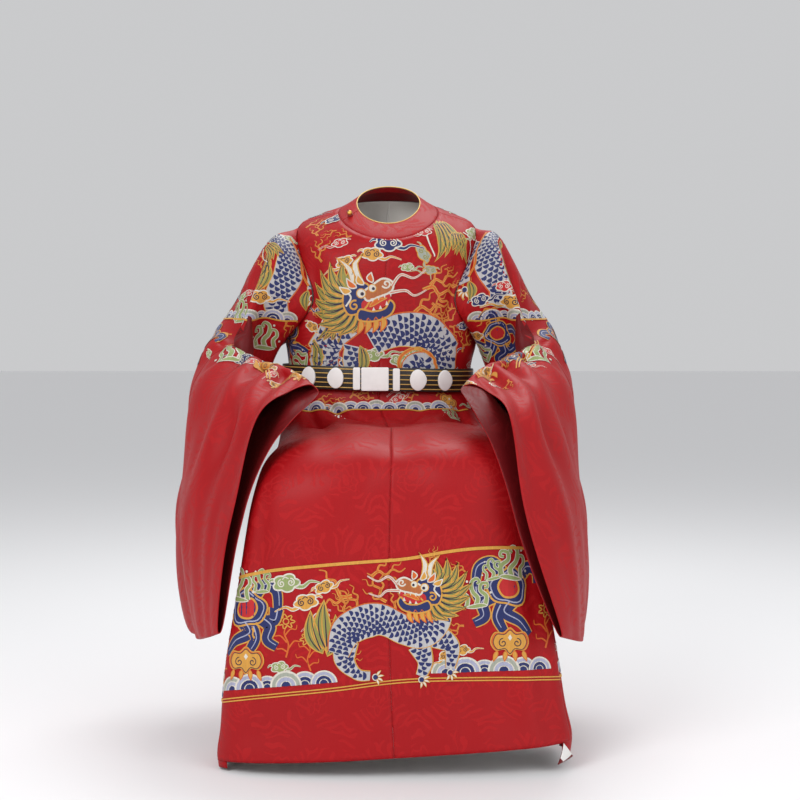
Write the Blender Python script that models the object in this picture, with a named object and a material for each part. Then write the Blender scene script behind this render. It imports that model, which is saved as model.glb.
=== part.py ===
# A round collar robe of red brocade, worn seated: a hollow cloth form with its belt.
# X runs to the wearer's left, -Y is the front, Z is up, in metres.
# Heights in the tables are above the floor under the hem, and the origin is at the shoulders.

import bpy
import numpy as np

HELD_HEIGHT = 1.02
CLOTH = 0.002
SEAM_GAP = 0.0003
ARMHOLE_GAP = 0.0007
COLLAR_THICKNESS = 0.003
BELT_THICKNESS = 0.0035
PLATE_THICKNESS = 0.005

# The body's sections, from the collar's inner edge over the shoulders, down the chest, over the lap
# and the knees to the hem. front and back are the section's two ends in the middle plane.
# rise lifts its sides, tilt lifts the wearer's left and drops the right, mid_x is its middle.
BODY_COLUMNS = (
    "front_y", "front_z", "back_y", "back_z", "half_width", "squareness", "rise", "tilt", "mid_x",
)
BODY = (
    (-0.085, 0.992, 0.055, 1.078, 0.066, 2.0, 0.004, 0.000, -0.008),  # collar, inner edge
    (-0.128, 0.957, 0.088, 1.052, 0.104, 2.0, 0.014, 0.000, -0.008),  # collar seam
    (-0.136, 0.928, 0.110, 1.025, 0.146, 2.1, 0.030, 0.000, -0.010),  # yoke
    (-0.140, 0.903, 0.120, 0.985, 0.184, 2.2, 0.044, 0.000, -0.012),  # shoulder tip
    (-0.142, 0.865, 0.125, 0.935, 0.194, 2.2, 0.028, 0.000, -0.014),  # armhole
    (-0.143, 0.825, 0.127, 0.872, 0.197, 2.3, 0.010, 0.000, -0.017),  # chest
    (-0.144, 0.785, 0.127, 0.805, 0.198, 2.3, 0.000, 0.000, -0.020),  # armhole, low
    (-0.146, 0.745, 0.126, 0.750, 0.198, 2.3, 0.000, 0.000, -0.023),  # underarm
    (-0.149, 0.701, 0.120, 0.701, 0.190, 2.3, 0.000, 0.000, -0.026),  # belt, top edge
    (-0.151, 0.653, 0.119, 0.653, 0.190, 2.3, 0.000, 0.000, -0.027),  # belt, bottom edge
    (-0.162, 0.622, 0.128, 0.600, 0.200, 2.4, 0.000, 0.000, -0.024),  # waist crease
    (-0.182, 0.607, 0.140, 0.540, 0.212, 2.5, 0.000, 0.002, -0.018),  # hip
    (-0.207, 0.602, 0.130, 0.472, 0.222, 2.6, 0.000, 0.004, -0.012),  # seat, behind
    (-0.238, 0.600, 0.080, 0.428, 0.228, 2.7, 0.000, 0.006, -0.008),  # seat
    (-0.280, 0.600, 0.000, 0.415, 0.232, 2.7, 0.000, 0.006, -0.004),  # thigh
    (-0.340, 0.598, -0.100, 0.413, 0.235, 2.7, 0.000, 0.006, 0.000),
    (-0.405, 0.594, -0.200, 0.413, 0.238, 2.7, 0.000, 0.006, 0.000),
    (-0.468, 0.588, -0.300, 0.415, 0.241, 2.8, 0.000, 0.008, 0.000),
    (-0.527, 0.573, -0.360, 0.415, 0.246, 2.9, 0.000, 0.012, 0.000),  # knee, top
    (-0.570, 0.545, -0.385, 0.405, 0.252, 3.0, 0.000, 0.016, 0.000),
    (-0.592, 0.503, -0.395, 0.380, 0.260, 3.0, 0.000, 0.018, -0.001),  # knee, front
    (-0.600, 0.445, -0.398, 0.345, 0.268, 3.0, 0.000, 0.020, -0.002),
    (-0.605, 0.375, -0.398, 0.300, 0.277, 3.0, 0.000, 0.022, -0.003),
    (-0.610, 0.300, -0.396, 0.245, 0.289, 3.0, 0.000, 0.024, -0.003),
    (-0.617, 0.225, -0.392, 0.190, 0.301, 3.0, 0.000, 0.024, -0.002),
    (-0.625, 0.150, -0.388, 0.130, 0.310, 3.0, 0.000, 0.023, 0.000),
    (-0.633, 0.085, -0.384, 0.072, 0.317, 3.0, 0.000, 0.022, 0.003),
    (-0.640, 0.030, -0.380, 0.024, 0.326, 3.0, 0.000, 0.020, 0.006),  # hem
    (-0.641, -0.006, -0.376, -0.012, 0.322, 3.0, 0.000, 0.020, 0.008),  # where a longer flap ends
)
COLLAR_ROW, SEAM_ROW, TIP_ROW, UNDERARM_ROW = 0, 1, 3, 7
SLIT_ROW, HEM_ROW = 12, 27

# The belt is a stiff hoop that hangs loosely at the waist. Its plates are placed along it from the
# middle of the front, positive towards the wearer's left.
BELT_MID_Z = 0.675
BELT_WIDTH = 0.047
BELT_FRONT_Y, BELT_BACK_Y = -0.166, 0.136
BELT_HALF_WIDTH, BELT_SQUARENESS = 0.199, 2.25
BELT_MID_X = -0.030
BELT_SLOPE = 0.026
BELT_COLUMNS = 64
PLATE_COLUMNS = ("name", "along", "width", "height", "rounding")
PLATES = (
    ("plate_centre", -0.004, 0.0550, 0.0470, 0.003),
    ("plate_bar_right", -0.0405, 0.0145, 0.0450, 0.003),
    ("plate_bar_left", 0.0385, 0.0140, 0.0450, 0.003),
)
PEACH_COLUMNS = ("name", "along", "width", "height", "point")
PEACHES = (
    ("plate_peach_right", -0.083, 0.034, 0.042, -1),
    ("plate_peach_left", 0.082, 0.035, 0.043, 1),
    ("plate_peach_far_right", -0.143, 0.034, 0.042, -1),
    ("plate_peach_far_left", 0.141, 0.034, 0.042, 1),
)
BUTTON_ROW, BUTTON_RADIUS, BUTTON_LIFT = 0.55, 0.0052, 0.0066
BUTTON_NECK = 0.0018
LOOP_RADIUS, LOOP_CORD, LOOP_LENGTH = 0.0046, 0.0012, 0.024

PANEL_COLUMNS = 8
SIDE_SEAM = 90.0
FRONT_BITE = 45.0
BACK_BITE = 24.0
FRONT_EDGE = 64.0
SLIT_ROWS = 3.0
COLLAR_END = -67.5
COLLAR_COLUMNS = 32
# Rows of the armhole that body and sleeve share, closer together at its top and bottom.
ARMHOLE_ROWS = TIP_ROW + (UNDERARM_ROW - TIP_ROW) * (1 - np.cos(np.pi * np.linspace(0, 1, 13))) / 2

# The body's large folds: a soft trough or ridge at a row and an angle round the body (0 is the
# middle of the front, positive towards the wearer's left), out is how far it moves the cloth.
FOLD_COLUMNS = ("row", "rows", "angle", "degrees", "out")
FOLDS = (
    (13.5, 2.8, 2.0, 24.0, -0.016),  # hollow between the thighs
    (17.5, 1.8, 4.0, 15.0, -0.012),
    (20.5, 2.2, 0.0, 20.0, -0.010),  # hollow between the knees
    (12.0, 1.2, -34.0, 10.0, -0.014),  # creases from the waist to each thigh
    (12.4, 1.3, 36.0, 10.0, -0.012),
    (23.5, 3.5, -40.0, 12.0, -0.006),  # long soft folds down the skirt
    (24.5, 3.0, 34.0, 10.0, -0.006),
    (25.5, 2.0, -14.0, 9.0, 0.005),
    (20.0, 4.0, 178.0, 26.0, 0.008),
    (24.0, 4.0, 150.0, 10.0, -0.008),
    (24.0, 4.0, -150.0, 10.0, -0.008),
    (9.6, 0.8, 150.0, 14.0, -0.006),
    (9.6, 0.8, -150.0, 14.0, -0.006),
)
FLAP_PLEAT = 0.022
FLAP_PLEATS = 2
FLAP_DROP = {"left": 0.9, "right": 0.3}

# The sleeves' sections, from the crease beside the chest to the cuff. Each is a flattened loop hung
# from a top line: it runs by over and mid down to low. arm and sack are its half depths at the arm
# and in the hanging part, and heading turns it from straight out (0) to straight ahead (90).
# out is from the middle plane, fore is forwards, up is above the floor.
SLEEVE_COLUMNS = (
    "top_out", "top_fore", "top_up", "over_out", "over_fore", "over_up",
    "mid_out", "mid_fore", "mid_up", "low_out", "low_fore", "low_up", "arm", "sack", "heading",
)
LEFT_SLEEVE = (
    (0.186, 0.000, 0.983, 0.186, 0.005, 0.905, 0.186, 0.000, 0.820, 0.186, -0.002, 0.742, 0.118, 0.085, 8),
    (0.218, 0.012, 0.960, 0.218, 0.045, 0.880, 0.210, 0.020, 0.790, 0.200, -0.010, 0.710, 0.112, 0.085, 8),
    (0.252, 0.030, 0.910, 0.258, 0.060, 0.825, 0.248, 0.030, 0.725, 0.235, -0.030, 0.630, 0.104, 0.076, 6),
    (0.284, 0.055, 0.845, 0.292, 0.072, 0.755, 0.290, 0.025, 0.630, 0.275, -0.050, 0.510, 0.096, 0.060, 14),
    (0.298, 0.090, 0.790, 0.314, 0.090, 0.680, 0.326, 0.035, 0.530, 0.318, -0.045, 0.390, 0.086, 0.050, 40),
    (0.286, 0.145, 0.752, 0.322, 0.140, 0.640, 0.350, 0.100, 0.460, 0.350, 0.020, 0.290, 0.075, 0.042, 68),
    (0.250, 0.210, 0.730, 0.315, 0.215, 0.620, 0.360, 0.190, 0.430, 0.364, 0.130, 0.225, 0.064, 0.036, 86),
    (0.208, 0.272, 0.714, 0.292, 0.300, 0.625, 0.352, 0.310, 0.430, 0.362, 0.270, 0.195, 0.056, 0.030, 95),
    (0.172, 0.330, 0.702, 0.264, 0.392, 0.628, 0.334, 0.430, 0.430, 0.352, 0.400, 0.195, 0.052, 0.026, 104),
    (0.150, 0.380, 0.686, 0.238, 0.494, 0.626, 0.306, 0.562, 0.430, 0.340, 0.536, 0.215, 0.032, 0.016, 114),
    (0.138, 0.420, 0.672, 0.188, 0.566, 0.608, 0.232, 0.644, 0.420, 0.296, 0.628, 0.240, 0.030, 0.012, 122),
)
RIGHT_SLEEVE = (
    (0.214, 0.000, 0.983, 0.216, 0.005, 0.905, 0.218, 0.000, 0.820, 0.222, -0.002, 0.742, 0.118, 0.085, 8),
    (0.248, 0.012, 0.955, 0.250, 0.045, 0.875, 0.250, 0.020, 0.790, 0.252, -0.010, 0.724, 0.112, 0.085, 8),
    (0.288, 0.030, 0.900, 0.294, 0.060, 0.815, 0.288, 0.030, 0.725, 0.282, -0.030, 0.645, 0.104, 0.076, 6),
    (0.318, 0.055, 0.840, 0.324, 0.072, 0.750, 0.320, 0.025, 0.625, 0.305, -0.050, 0.510, 0.096, 0.060, 14),
    (0.332, 0.090, 0.785, 0.346, 0.090, 0.675, 0.356, 0.035, 0.530, 0.348, -0.045, 0.390, 0.086, 0.050, 40),
    (0.324, 0.145, 0.748, 0.364, 0.140, 0.640, 0.396, 0.100, 0.460, 0.392, 0.020, 0.290, 0.075, 0.042, 68),
    (0.284, 0.210, 0.726, 0.356, 0.215, 0.620, 0.404, 0.190, 0.430, 0.398, 0.130, 0.225, 0.064, 0.036, 86),
    (0.240, 0.272, 0.710, 0.326, 0.300, 0.625, 0.392, 0.310, 0.430, 0.388, 0.270, 0.195, 0.056, 0.030, 95),
    (0.196, 0.330, 0.700, 0.286, 0.390, 0.625, 0.360, 0.420, 0.430, 0.364, 0.400, 0.195, 0.052, 0.026, 104),
    (0.162, 0.380, 0.684, 0.250, 0.465, 0.612, 0.316, 0.510, 0.425, 0.336, 0.500, 0.215, 0.036, 0.020, 114),
    (0.140, 0.420, 0.668, 0.222, 0.530, 0.598, 0.276, 0.580, 0.420, 0.305, 0.565, 0.235, 0.030, 0.012, 122),
)
EXTENSION_ROW = 5.6
# The sleeves' large folds: soft troughs and ridges along a line between two places, each a station
# and a turn: 0 is the top line, 0.5 is down the front, which becomes the inner side, 1 is the
# lowest line and 1.5 is up the back, which becomes the outer side.
SLEEVE_FOLD_COLUMNS = ("station", "turn", "to_station", "to_turn", "width", "out")
SLEEVE_FOLDS = (
    (1.0, 0.42, 3.6, 0.80, 0.50, -0.014),  # drape from the shoulder down the front
    (2.0, 0.28, 3.8, 0.50, 0.45, -0.012),
    (3.2, 0.26, 4.6, 0.34, 0.40, -0.016),  # creases inside the bend of the elbow
    (4.0, 0.44, 5.4, 0.62, 0.45, -0.014),
    (4.4, 1.74, 5.6, 1.46, 0.45, -0.016),  # from the elbow down the outer side
    (5.4, 1.72, 6.6, 1.38, 0.45, -0.014),
    (6.6, 1.80, 7.6, 1.54, 0.40, -0.016),  # bunched folds on the forearm
    (7.5, 1.86, 8.6, 1.56, 0.38, -0.018),
    (8.5, 1.88, 9.5, 1.60, 0.34, -0.014),
    (7.0, 1.46, 7.9, 1.14, 0.45, -0.010),  # long folds of the hanging part
    (8.6, 1.48, 8.9, 1.14, 0.40, -0.008),
    (5.0, 1.40, 5.4, 1.10, 0.55, -0.012),
    (1.0, 1.62, 2.8, 1.36, 0.50, -0.012),  # down the back of the upper arm
    (2.4, 1.72, 4.0, 1.30, 0.50, -0.014),
)
TURN_LENGTH = 3.2
LAYER_POINTS = 12
LOOP_POINTS = 2 * LAYER_POINTS
STATION_STEPS = 2.5
JOIN_STATIONS = 1.5
FLAP_COLUMNS = 8

RED = (0.42, 0.014, 0.016)
GOLD = (0.60, 0.33, 0.06)
JADE = (0.86, 0.86, 0.84)
LEATHER = (0.018, 0.014, 0.012)


def smooth_between(before, here, there, after, u):
    """A point on the smooth curve from here to there, u of the way, between its two neighbours."""
    start, end = (there - before) / 2, (after - here) / 2
    u2, u3 = u * u, u * u * u
    leave, arrive = u3 - 2 * u2 + u, u3 - u2
    return here * (2 * u3 - 3 * u2 + 1) + start * leave + there * (3 * u2 - 2 * u3) + end * arrive


def eased(share):
    """A share from 0 to 1 that starts and ends gently."""
    return share * share * (3 - 2 * share)


def through(rows, at):
    """Rows of a table at fractional row numbers, on smooth curves through its rows."""
    rows = np.asarray(rows, float)
    at = np.clip(np.asarray(at, float), 0, len(rows) - 1)
    i = np.minimum(at.astype(int), len(rows) - 2)
    u = (at - i)[..., None]
    before, after = rows[np.maximum(i - 1, 0)], rows[np.minimum(i + 2, len(rows) - 1)]
    return smooth_between(before, rows[i], rows[i + 1], after, u)


def unit(vectors):
    return vectors / np.maximum(np.linalg.norm(vectors, axis=-1, keepdims=True), 1e-12)


def body_bare(row, angle):
    """The body's surface without its folds, at table rows and angles in degrees."""
    row, angle = np.broadcast_arrays(np.asarray(row, float), np.asarray(angle, float))
    front_y, front_z, back_y, back_z, half, square, rise, tilt, mid = np.moveaxis(through(BODY, row), -1, 0)
    side, ahead = np.sin(np.radians(angle)), np.cos(np.radians(angle))
    reach = (np.abs(side) ** square + np.abs(ahead) ** square) ** (-1 / square)
    x = mid + half * reach * side
    y = (front_y + back_y) / 2 + (front_y - back_y) / 2 * reach * ahead
    z = (front_z + back_z) / 2 + (front_z - back_z) / 2 * reach * ahead + rise * side**2 + tilt * side
    return np.stack([x, y, z], axis=-1)


def body_normal(row, angle, surface=body_bare):
    step = 0.02
    along = surface(row + step, angle) - surface(row - step, angle)
    around = surface(row, angle + 1.0) - surface(row, angle - 1.0)
    return unit(np.cross(around, along) * -1)


def bump(distance, reach):
    return np.exp(-((distance / reach) ** 2) * 2)


def body(row, angle):
    """The body's outer surface, with its large folds."""
    row, angle = np.broadcast_arrays(np.asarray(row, float), np.asarray(angle, float))
    out = np.zeros(row.shape)
    for fold in (dict(zip(FOLD_COLUMNS, values)) for values in FOLDS):
        turn = (angle - fold["angle"] + 180) % 360 - 180
        out += fold["out"] * bump(row - fold["row"], fold["rows"]) * bump(turn, fold["degrees"])
    return body_bare(row, angle) + body_normal(row, angle) * out[..., None]


def panel_edge(row, behind=False):
    """The angle from a panel's middle to its side seam, its armhole or its edge beside the slit."""
    down = np.clip((np.asarray(row, float) - TIP_ROW) / (UNDERARM_ROW - TIP_ROW), 0, 1)
    bite = (BACK_BITE if behind else FRONT_BITE) * np.sin(np.pi * down) ** 0.7
    slit = np.clip((np.asarray(row, float) - SLIT_ROW) / SLIT_ROWS, 0, 1)
    return SIDE_SEAM - bite - (SIDE_SEAM - FRONT_EDGE) * eased(slit)


def grid_normals(points, cyclic=False):
    """Normals of a grid of points, by its own neighbours."""
    if cyclic:
        across = np.roll(points, -1, axis=1) - np.roll(points, 1, axis=1)
    else:
        across = np.gradient(points, axis=1)
    return unit(np.cross(across, np.gradient(points, axis=0)))


def drawn_in(points, amount=SEAM_GAP / 2):
    """The grid with its four borders moved in, which leaves the gap at each seam."""
    points = points.copy()
    for axis in (0, 1):
        lines = np.moveaxis(points, axis, 0)
        lines[0] += unit(lines[1] - lines[0]) * amount
        lines[-1] += unit(lines[-2] - lines[-1]) * amount
    return points


def material(name, colour, roughness, metallic=0.0):
    made = bpy.data.materials.new(name)
    made.use_nodes = True
    shader = made.node_tree.nodes["Principled BSDF"]
    shader.inputs["Base Color"].default_value = (*colour, 1)
    shader.inputs["Roughness"].default_value = roughness
    shader.inputs["Metallic"].default_value = metallic
    return made


def solid(name, points, faces, look):
    """A named object of points above the floor, lowered so that the origin is at the shoulders."""
    mesh = bpy.data.meshes.new(name)
    lowered = np.asarray(points, float) - (0, 0, HELD_HEIGHT)
    mesh.from_pydata(lowered.tolist(), [], faces)
    mesh.materials.append(look)
    made = bpy.data.objects.new(name, mesh)
    bpy.context.scene.collection.objects.link(made)
    mesh.shade_smooth()
    return made


def wall(name, outer, normals, look, thickness=CLOTH, cyclic=False):
    """A closed wall of cloth between a grid of outer points and the same grid moved in."""
    rows, columns = outer.shape[:2]
    inner = outer - normals * thickness
    points = np.concatenate([outer.reshape(-1, 3), inner.reshape(-1, 3)])
    under = rows * columns
    spans = columns if cyclic else columns - 1
    faces = []
    for r in range(rows - 1):
        for c in range(spans):
            a, b = r * columns + c, r * columns + (c + 1) % columns
            d, e = a + columns, b + columns
            faces += [(a, d, e), (a, e, b)]
            faces += [(a + under, e + under, d + under), (a + under, b + under, e + under)]
    for r, turn in ((0, 1), (rows - 1, -1)):
        for c in range(spans):
            a, b = r * columns + c, r * columns + (c + 1) % columns
            faces.append((a, b, b + under, a + under)[::turn])
    for c, turn in () if cyclic else ((0, -1), (columns - 1, 1)):
        for r in range(rows - 1):
            a, b = r * columns + c, (r + 1) * columns + c
            faces.append((a, b, b + under, a + under)[::turn])
    middle = (rows // 2, columns // 2)
    if np.dot(normals[middle], grid_normals(outer, cyclic)[middle]) > 0:
        faces = [face[::-1] for face in faces]
    return solid(name, points, faces, look)


def body_rows(first=SEAM_ROW, last=HEM_ROW):
    """The table rows that a panel's grid has: closer together where the armhole is."""
    above, below = np.arange(SEAM_ROW, TIP_ROW), np.arange(UNDERARM_ROW + 1, HEM_ROW + 1)
    rows = np.concatenate([above, ARMHOLE_ROWS, below])
    return rows[(rows >= first) & (rows <= last)]


def body_panel(name, side, behind, look):
    """A front or back panel on one side, from the collar seam to the hem."""
    table_rows = body_rows()
    rows = table_rows[:, None]
    share = np.linspace(0, 1, PANEL_COLUMNS + 1)[None, :]
    angles = panel_edge(rows, behind) * share
    angles = side * (180 - angles if behind else angles)
    rows, angles = np.broadcast_arrays(rows, angles)
    outer = body(rows, angles)
    normals = body_normal(rows, angles, body)
    normals[np.isin(table_rows, ARMHOLE_ROWS), -1] = armhole_normals(side, behind)
    return wall(name, drawn_in(outer), normals, look)


def side_flap(name, side, drop, look):
    """The pleated piece that closes a side slit from inside, sewn under both panels' edges."""
    rows = np.append(body_rows(first=SLIT_ROW + SLIT_ROWS), HEM_ROW + drop)[:, None]
    strip = panel_edge(rows) / PANEL_COLUMNS
    start = panel_edge(rows) - strip
    share = np.linspace(0, 1, FLAP_COLUMNS + 1)[None, :]
    middle = panel_edge(rows) + (180 - 2 * panel_edge(rows)) * share
    angles = np.concatenate([start + 0 * rows, middle, 180 - start], axis=1)
    rows = rows + 0 * angles
    within = np.concatenate([[0.0], share[0], [0.0]])[None, :]
    pleats = 0.55 - 0.45 * np.cos(2 * np.pi * FLAP_PLEATS * within)
    sunk = FLAP_PLEAT * np.sin(np.pi * within) ** 0.5 * pleats
    outer = body(rows, side * angles)
    normals = body_normal(rows, side * angles, body)
    outer = outer - normals * (CLOTH + SEAM_GAP + sunk)[..., None]
    return wall(name, outer, normals, look)


def armhole_loop(side):
    """The armhole's edge, from the shoulder tip down in front to the underarm and up behind."""
    rows = np.concatenate([ARMHOLE_ROWS, ARMHOLE_ROWS[-2:0:-1]])
    front = np.arange(len(rows)) < len(ARMHOLE_ROWS)
    return rows, side * np.where(front, panel_edge(rows), 180 - panel_edge(rows, True))


def armhole_normals(side, behind):
    """The directions that body and sleeve share along one half of the armhole, tip first."""
    rows, angles = armhole_loop(side)
    shared = unit(body_normal(rows, angles, body) + sleeve_normals(side, np.zeros(1))[0])
    count = len(ARMHOLE_ROWS)
    return np.roll(shared[::-1], 1, axis=0)[:count] if behind else shared[:count]


def hung(table, station, part):
    """A point of the sleeve's middle sheet: at a station, part of the way from its top line down."""
    values = through(table, station)
    lines = np.stack([values[..., 0:3], values[..., 3:6], values[..., 6:9], values[..., 9:12]])
    at = np.clip(part, 0, 1) * 3
    i = np.minimum(at.astype(int), 2)
    u = (at - i)[..., None]
    index = np.arange(len(part))
    before, here = lines[np.maximum(i - 1, 0), index], lines[i, index]
    there, after = lines[i + 1, index], lines[np.minimum(i + 2, 3), index]
    curve = smooth_between(before, here, there, after, u)
    return curve, values[..., 12], values[..., 13], np.radians(values[..., 14])


def sleeve_bare(side, stations, turns=None):
    """The sleeve's outer surface: a grid of stations by points round the loop, from its top line."""
    table = np.asarray(LEFT_SLEEVE if side > 0 else RIGHT_SLEEVE)
    if turns is None:
        turns = np.linspace(0, 2, LOOP_POINTS, endpoint=False)
    station, turn = np.meshgrid(np.asarray(stations, float), turns, indexing="ij")
    shape = station.shape
    station, turn = station.ravel(), turn.ravel()
    level = np.where(turn <= 1, turn, 2 - turn)
    part = (1 - np.cos(np.pi * level)) / 2
    sheet, arm, sack, heading = hung(table, station, part)
    down = unit(hung(table, station, part + 0.02)[0] - hung(table, station, part - 0.02)[0])
    inward = np.stack([-np.sin(heading), np.cos(heading), 0 * heading], axis=-1)
    across = unit(inward - down * np.sum(inward * down, axis=-1, keepdims=True))
    ease = np.clip((part - 0.25) / 0.35, 0, 1)
    depth = (arm + (sack - arm) * eased(ease)) * np.sin(np.pi * level) ** 0.75
    points = sheet + across * (depth * np.where(turn <= 1, 1, -1))[:, None]
    points = points * (side, -1, 1)
    return points.reshape(*shape, 3)


def sleeve_joined(side, stations, turns=None):
    """The sleeve with its first stations drawn to the armhole's edge."""
    points = sleeve_bare(side, stations, turns)
    rows, angles = armhole_loop(side)
    if turns is not None:
        level = np.where(turns <= 1, turns, 2 - turns)
        rows = TIP_ROW + (UNDERARM_ROW - TIP_ROW) * (1 - np.cos(np.pi * level)) / 2
        angles = side * np.where(turns <= 1, panel_edge(rows), 180 - panel_edge(rows, True))
    away = body(rows, angles) - sleeve_bare(side, [0.0], turns)[0]
    part = np.clip(np.asarray(stations, float) / JOIN_STATIONS, 0, 1)
    return points + away[None] * (1 - eased(part))[:, None, None]


def sleeve_bare_normals(side, stations, surface=sleeve_joined):
    step = 0.03
    stations = np.asarray(stations, float)
    near, far = surface(side, stations - step), surface(side, stations + step)
    here = surface(side, stations)
    around = np.roll(here, -1, axis=1) - np.roll(here, 1, axis=1)
    return unit(np.cross(around, far - near)) * side


def line_distance(u, v, ends):
    """How far each (u, v) is from the line between two places."""
    (u0, v0), (u1, v1) = ends
    along = np.clip(((u - u0) * (u1 - u0) + (v - v0) * (v1 - v0)) / ((u1 - u0) ** 2 + (v1 - v0) ** 2), 0, 1)
    return np.hypot(u - u0 - along * (u1 - u0), v - v0 - along * (v1 - v0))


def sleeve(side, stations):
    """The sleeve's outer surface with its large folds, as a grid of stations by points round it."""
    stations = np.asarray(stations, float)
    turns = np.linspace(0, 2, LOOP_POINTS, endpoint=False)
    station, turn = np.meshgrid(stations, turns, indexing="ij")
    out = np.zeros(station.shape)
    for fold in (dict(zip(SLEEVE_FOLD_COLUMNS, values)) for values in SLEEVE_FOLDS):
        ends = (
            (fold["station"], fold["turn"] * TURN_LENGTH),
            (fold["to_station"], fold["to_turn"] * TURN_LENGTH),
        )
        out += fold["out"] * bump(line_distance(station, turn * TURN_LENGTH, ends), fold["width"])
    out *= np.clip(station / JOIN_STATIONS, 0, 1)
    return sleeve_joined(side, stations) + sleeve_bare_normals(side, stations) * out[..., None]


def sleeve_normals(side, stations):
    return sleeve_bare_normals(side, stations, sleeve)


def sleeve_wall(name, side, first, last, look):
    stations = np.linspace(first, last, int(round((last - first) * STATION_STEPS)) + 1)
    outer = sleeve(side, stations)
    normals = sleeve_normals(side, stations)
    if first == 0:
        rows, angles = armhole_loop(side)
        normals[0] = unit(normals[0] + body_normal(rows, angles, body))
    outer[0] += unit(outer[1] - outer[0]) * ARMHOLE_GAP
    if last < len(LEFT_SLEEVE) - 1:
        outer[-1] += unit(outer[-2] - outer[-1]) * SEAM_GAP / 2
    return wall(name, outer, normals, look, cyclic=True)


def collar_place(row, angle, lift=0.0):
    """A point of the collar's outer face, or lifted off it."""
    return body(row, angle) + body_normal(row, angle, body) * np.asarray(lift)[..., None]


def collar(look):
    """The round collar: one band that opens at the wearer's right shoulder."""
    rows = np.linspace(COLLAR_ROW, SEAM_ROW, 4)[:, None]
    angles = (COLLAR_END + np.linspace(0, 360, COLLAR_COLUMNS + 1))[None, :]
    rows, angles = np.broadcast_arrays(rows, angles)
    normals = body_normal(rows, angles, body)
    return wall("collar_band", drawn_in(body(rows, angles)), normals, look, COLLAR_THICKNESS)


def button_frame():
    """The place on the collar's end where the button sits, and the directions round it."""
    here = collar_place(BUTTON_ROW, COLLAR_END)
    out = body_normal(BUTTON_ROW, COLLAR_END, body)
    along = unit(collar_place(BUTTON_ROW, COLLAR_END + 2.0) - collar_place(BUTTON_ROW, COLLAR_END - 2.0))
    return here, along, np.cross(out, along), out


def turned(name, profile, columns, look, frame):
    """A solid of revolution from (radius, height) pairs, closed at both ends on its axis."""
    here, along, across, out = frame
    points, faces = [], []
    for radius, height in profile[1:-1]:
        for k in range(columns):
            angle = 2 * np.pi * k / columns
            points.append(here + out * height + (along * np.cos(angle) + across * np.sin(angle)) * radius)
    rings = len(profile) - 2
    points += [here + out * profile[0][1], here + out * profile[-1][1]]
    low, high = rings * columns, rings * columns + 1
    for k in range(columns):
        after = (k + 1) % columns
        faces.append((low, after, k))
        faces.append((high, (rings - 1) * columns + k, (rings - 1) * columns + after))
        for r in range(rings - 1):
            a, b = r * columns, (r + 1) * columns
            faces.append((a + k, a + after, b + after, b + k))
    return solid(name, points, faces, look)


def button(look):
    """The bead button: a ball on a short neck."""
    turns = np.linspace(np.arcsin(BUTTON_NECK / BUTTON_RADIUS), np.pi, 7)
    ball = [(BUTTON_RADIUS * np.sin(a), BUTTON_LIFT - BUTTON_RADIUS * np.cos(a)) for a in turns]
    profile = [(0, SEAM_GAP), (BUTTON_NECK, SEAM_GAP), *ball]
    return turned("collar_button", profile, 12, look, button_frame())


def tube(name, centres, radius, sides, look, outs):
    """A closed cord round a loop of centres."""
    count = len(centres)
    ahead = unit(np.roll(centres, -1, axis=0) - np.roll(centres, 1, axis=0))
    across = unit(np.cross(outs, ahead))
    ups = np.cross(ahead, across)
    points = [
        centres[i] + radius * (across[i] * np.cos(a) + ups[i] * np.sin(a))
        for i in range(count)
        for a in np.linspace(0, 2 * np.pi, sides, endpoint=False)
    ]
    faces = []
    for i in range(count):
        for k in range(sides):
            a, b = i * sides, (i + 1) % count * sides
            after = (k + 1) % sides
            faces.append((a + k, b + k, b + after, a + after)[::-1])
    return solid(name, points, faces, look)


def button_loop(look):
    """The loop that holds the button: a cord round its neck, with its two ends side by side."""
    turn = np.radians(np.linspace(-145, 145, 12))
    along = list(LOOP_RADIUS * np.cos(turn))
    across = list(LOOP_RADIUS * np.sin(turn))
    for share in np.linspace(0.3, 1, 4):
        along.append(-LOOP_LENGTH * share)
        across.append(LOOP_CORD * 1.35)
    for share in np.linspace(1, 0.3, 4):
        along.append(-LOOP_LENGTH * share)
        across.append(-LOOP_CORD * 1.35)
    here, ahead, side, out = button_frame()
    per_degree = collar_place(BUTTON_ROW, COLLAR_END + 1) - here
    per_row = (collar_place(BUTTON_ROW + 0.1, COLLAR_END) - here) * 10
    spread = np.array(((per_degree @ ahead, per_row @ ahead), (per_degree @ side, per_row @ side)))
    angles, rows = np.linalg.solve(spread, np.array((along, across)))
    angles, rows = COLLAR_END + angles, BUTTON_ROW + rows
    lift = LOOP_CORD + 2 * SEAM_GAP
    return tube(
        "collar_loop", collar_place(rows, angles, lift), LOOP_CORD, 6, look, body_normal(rows, angles, body)
    )


def belt_hoop(angle):
    """The belt's middle line at its outer face, and its outward direction."""
    def at(turn):
        side, ahead = np.sin(np.radians(turn)), np.cos(np.radians(turn))
        power = BELT_SQUARENESS
        reach = (np.abs(side) ** power + np.abs(ahead) ** power) ** (-1 / power)
        x = BELT_MID_X + BELT_HALF_WIDTH * reach * side
        y = (BELT_FRONT_Y + BELT_BACK_Y) / 2 + (BELT_FRONT_Y - BELT_BACK_Y) / 2 * reach * ahead
        return np.stack([x, y, BELT_MID_Z - BELT_SLOPE * x], axis=-1)

    ahead = unit(at(angle + 0.5) - at(angle - 0.5))
    return at(angle), np.stack([ahead[..., 1], -ahead[..., 0], 0 * ahead[..., 0]], axis=-1)


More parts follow.
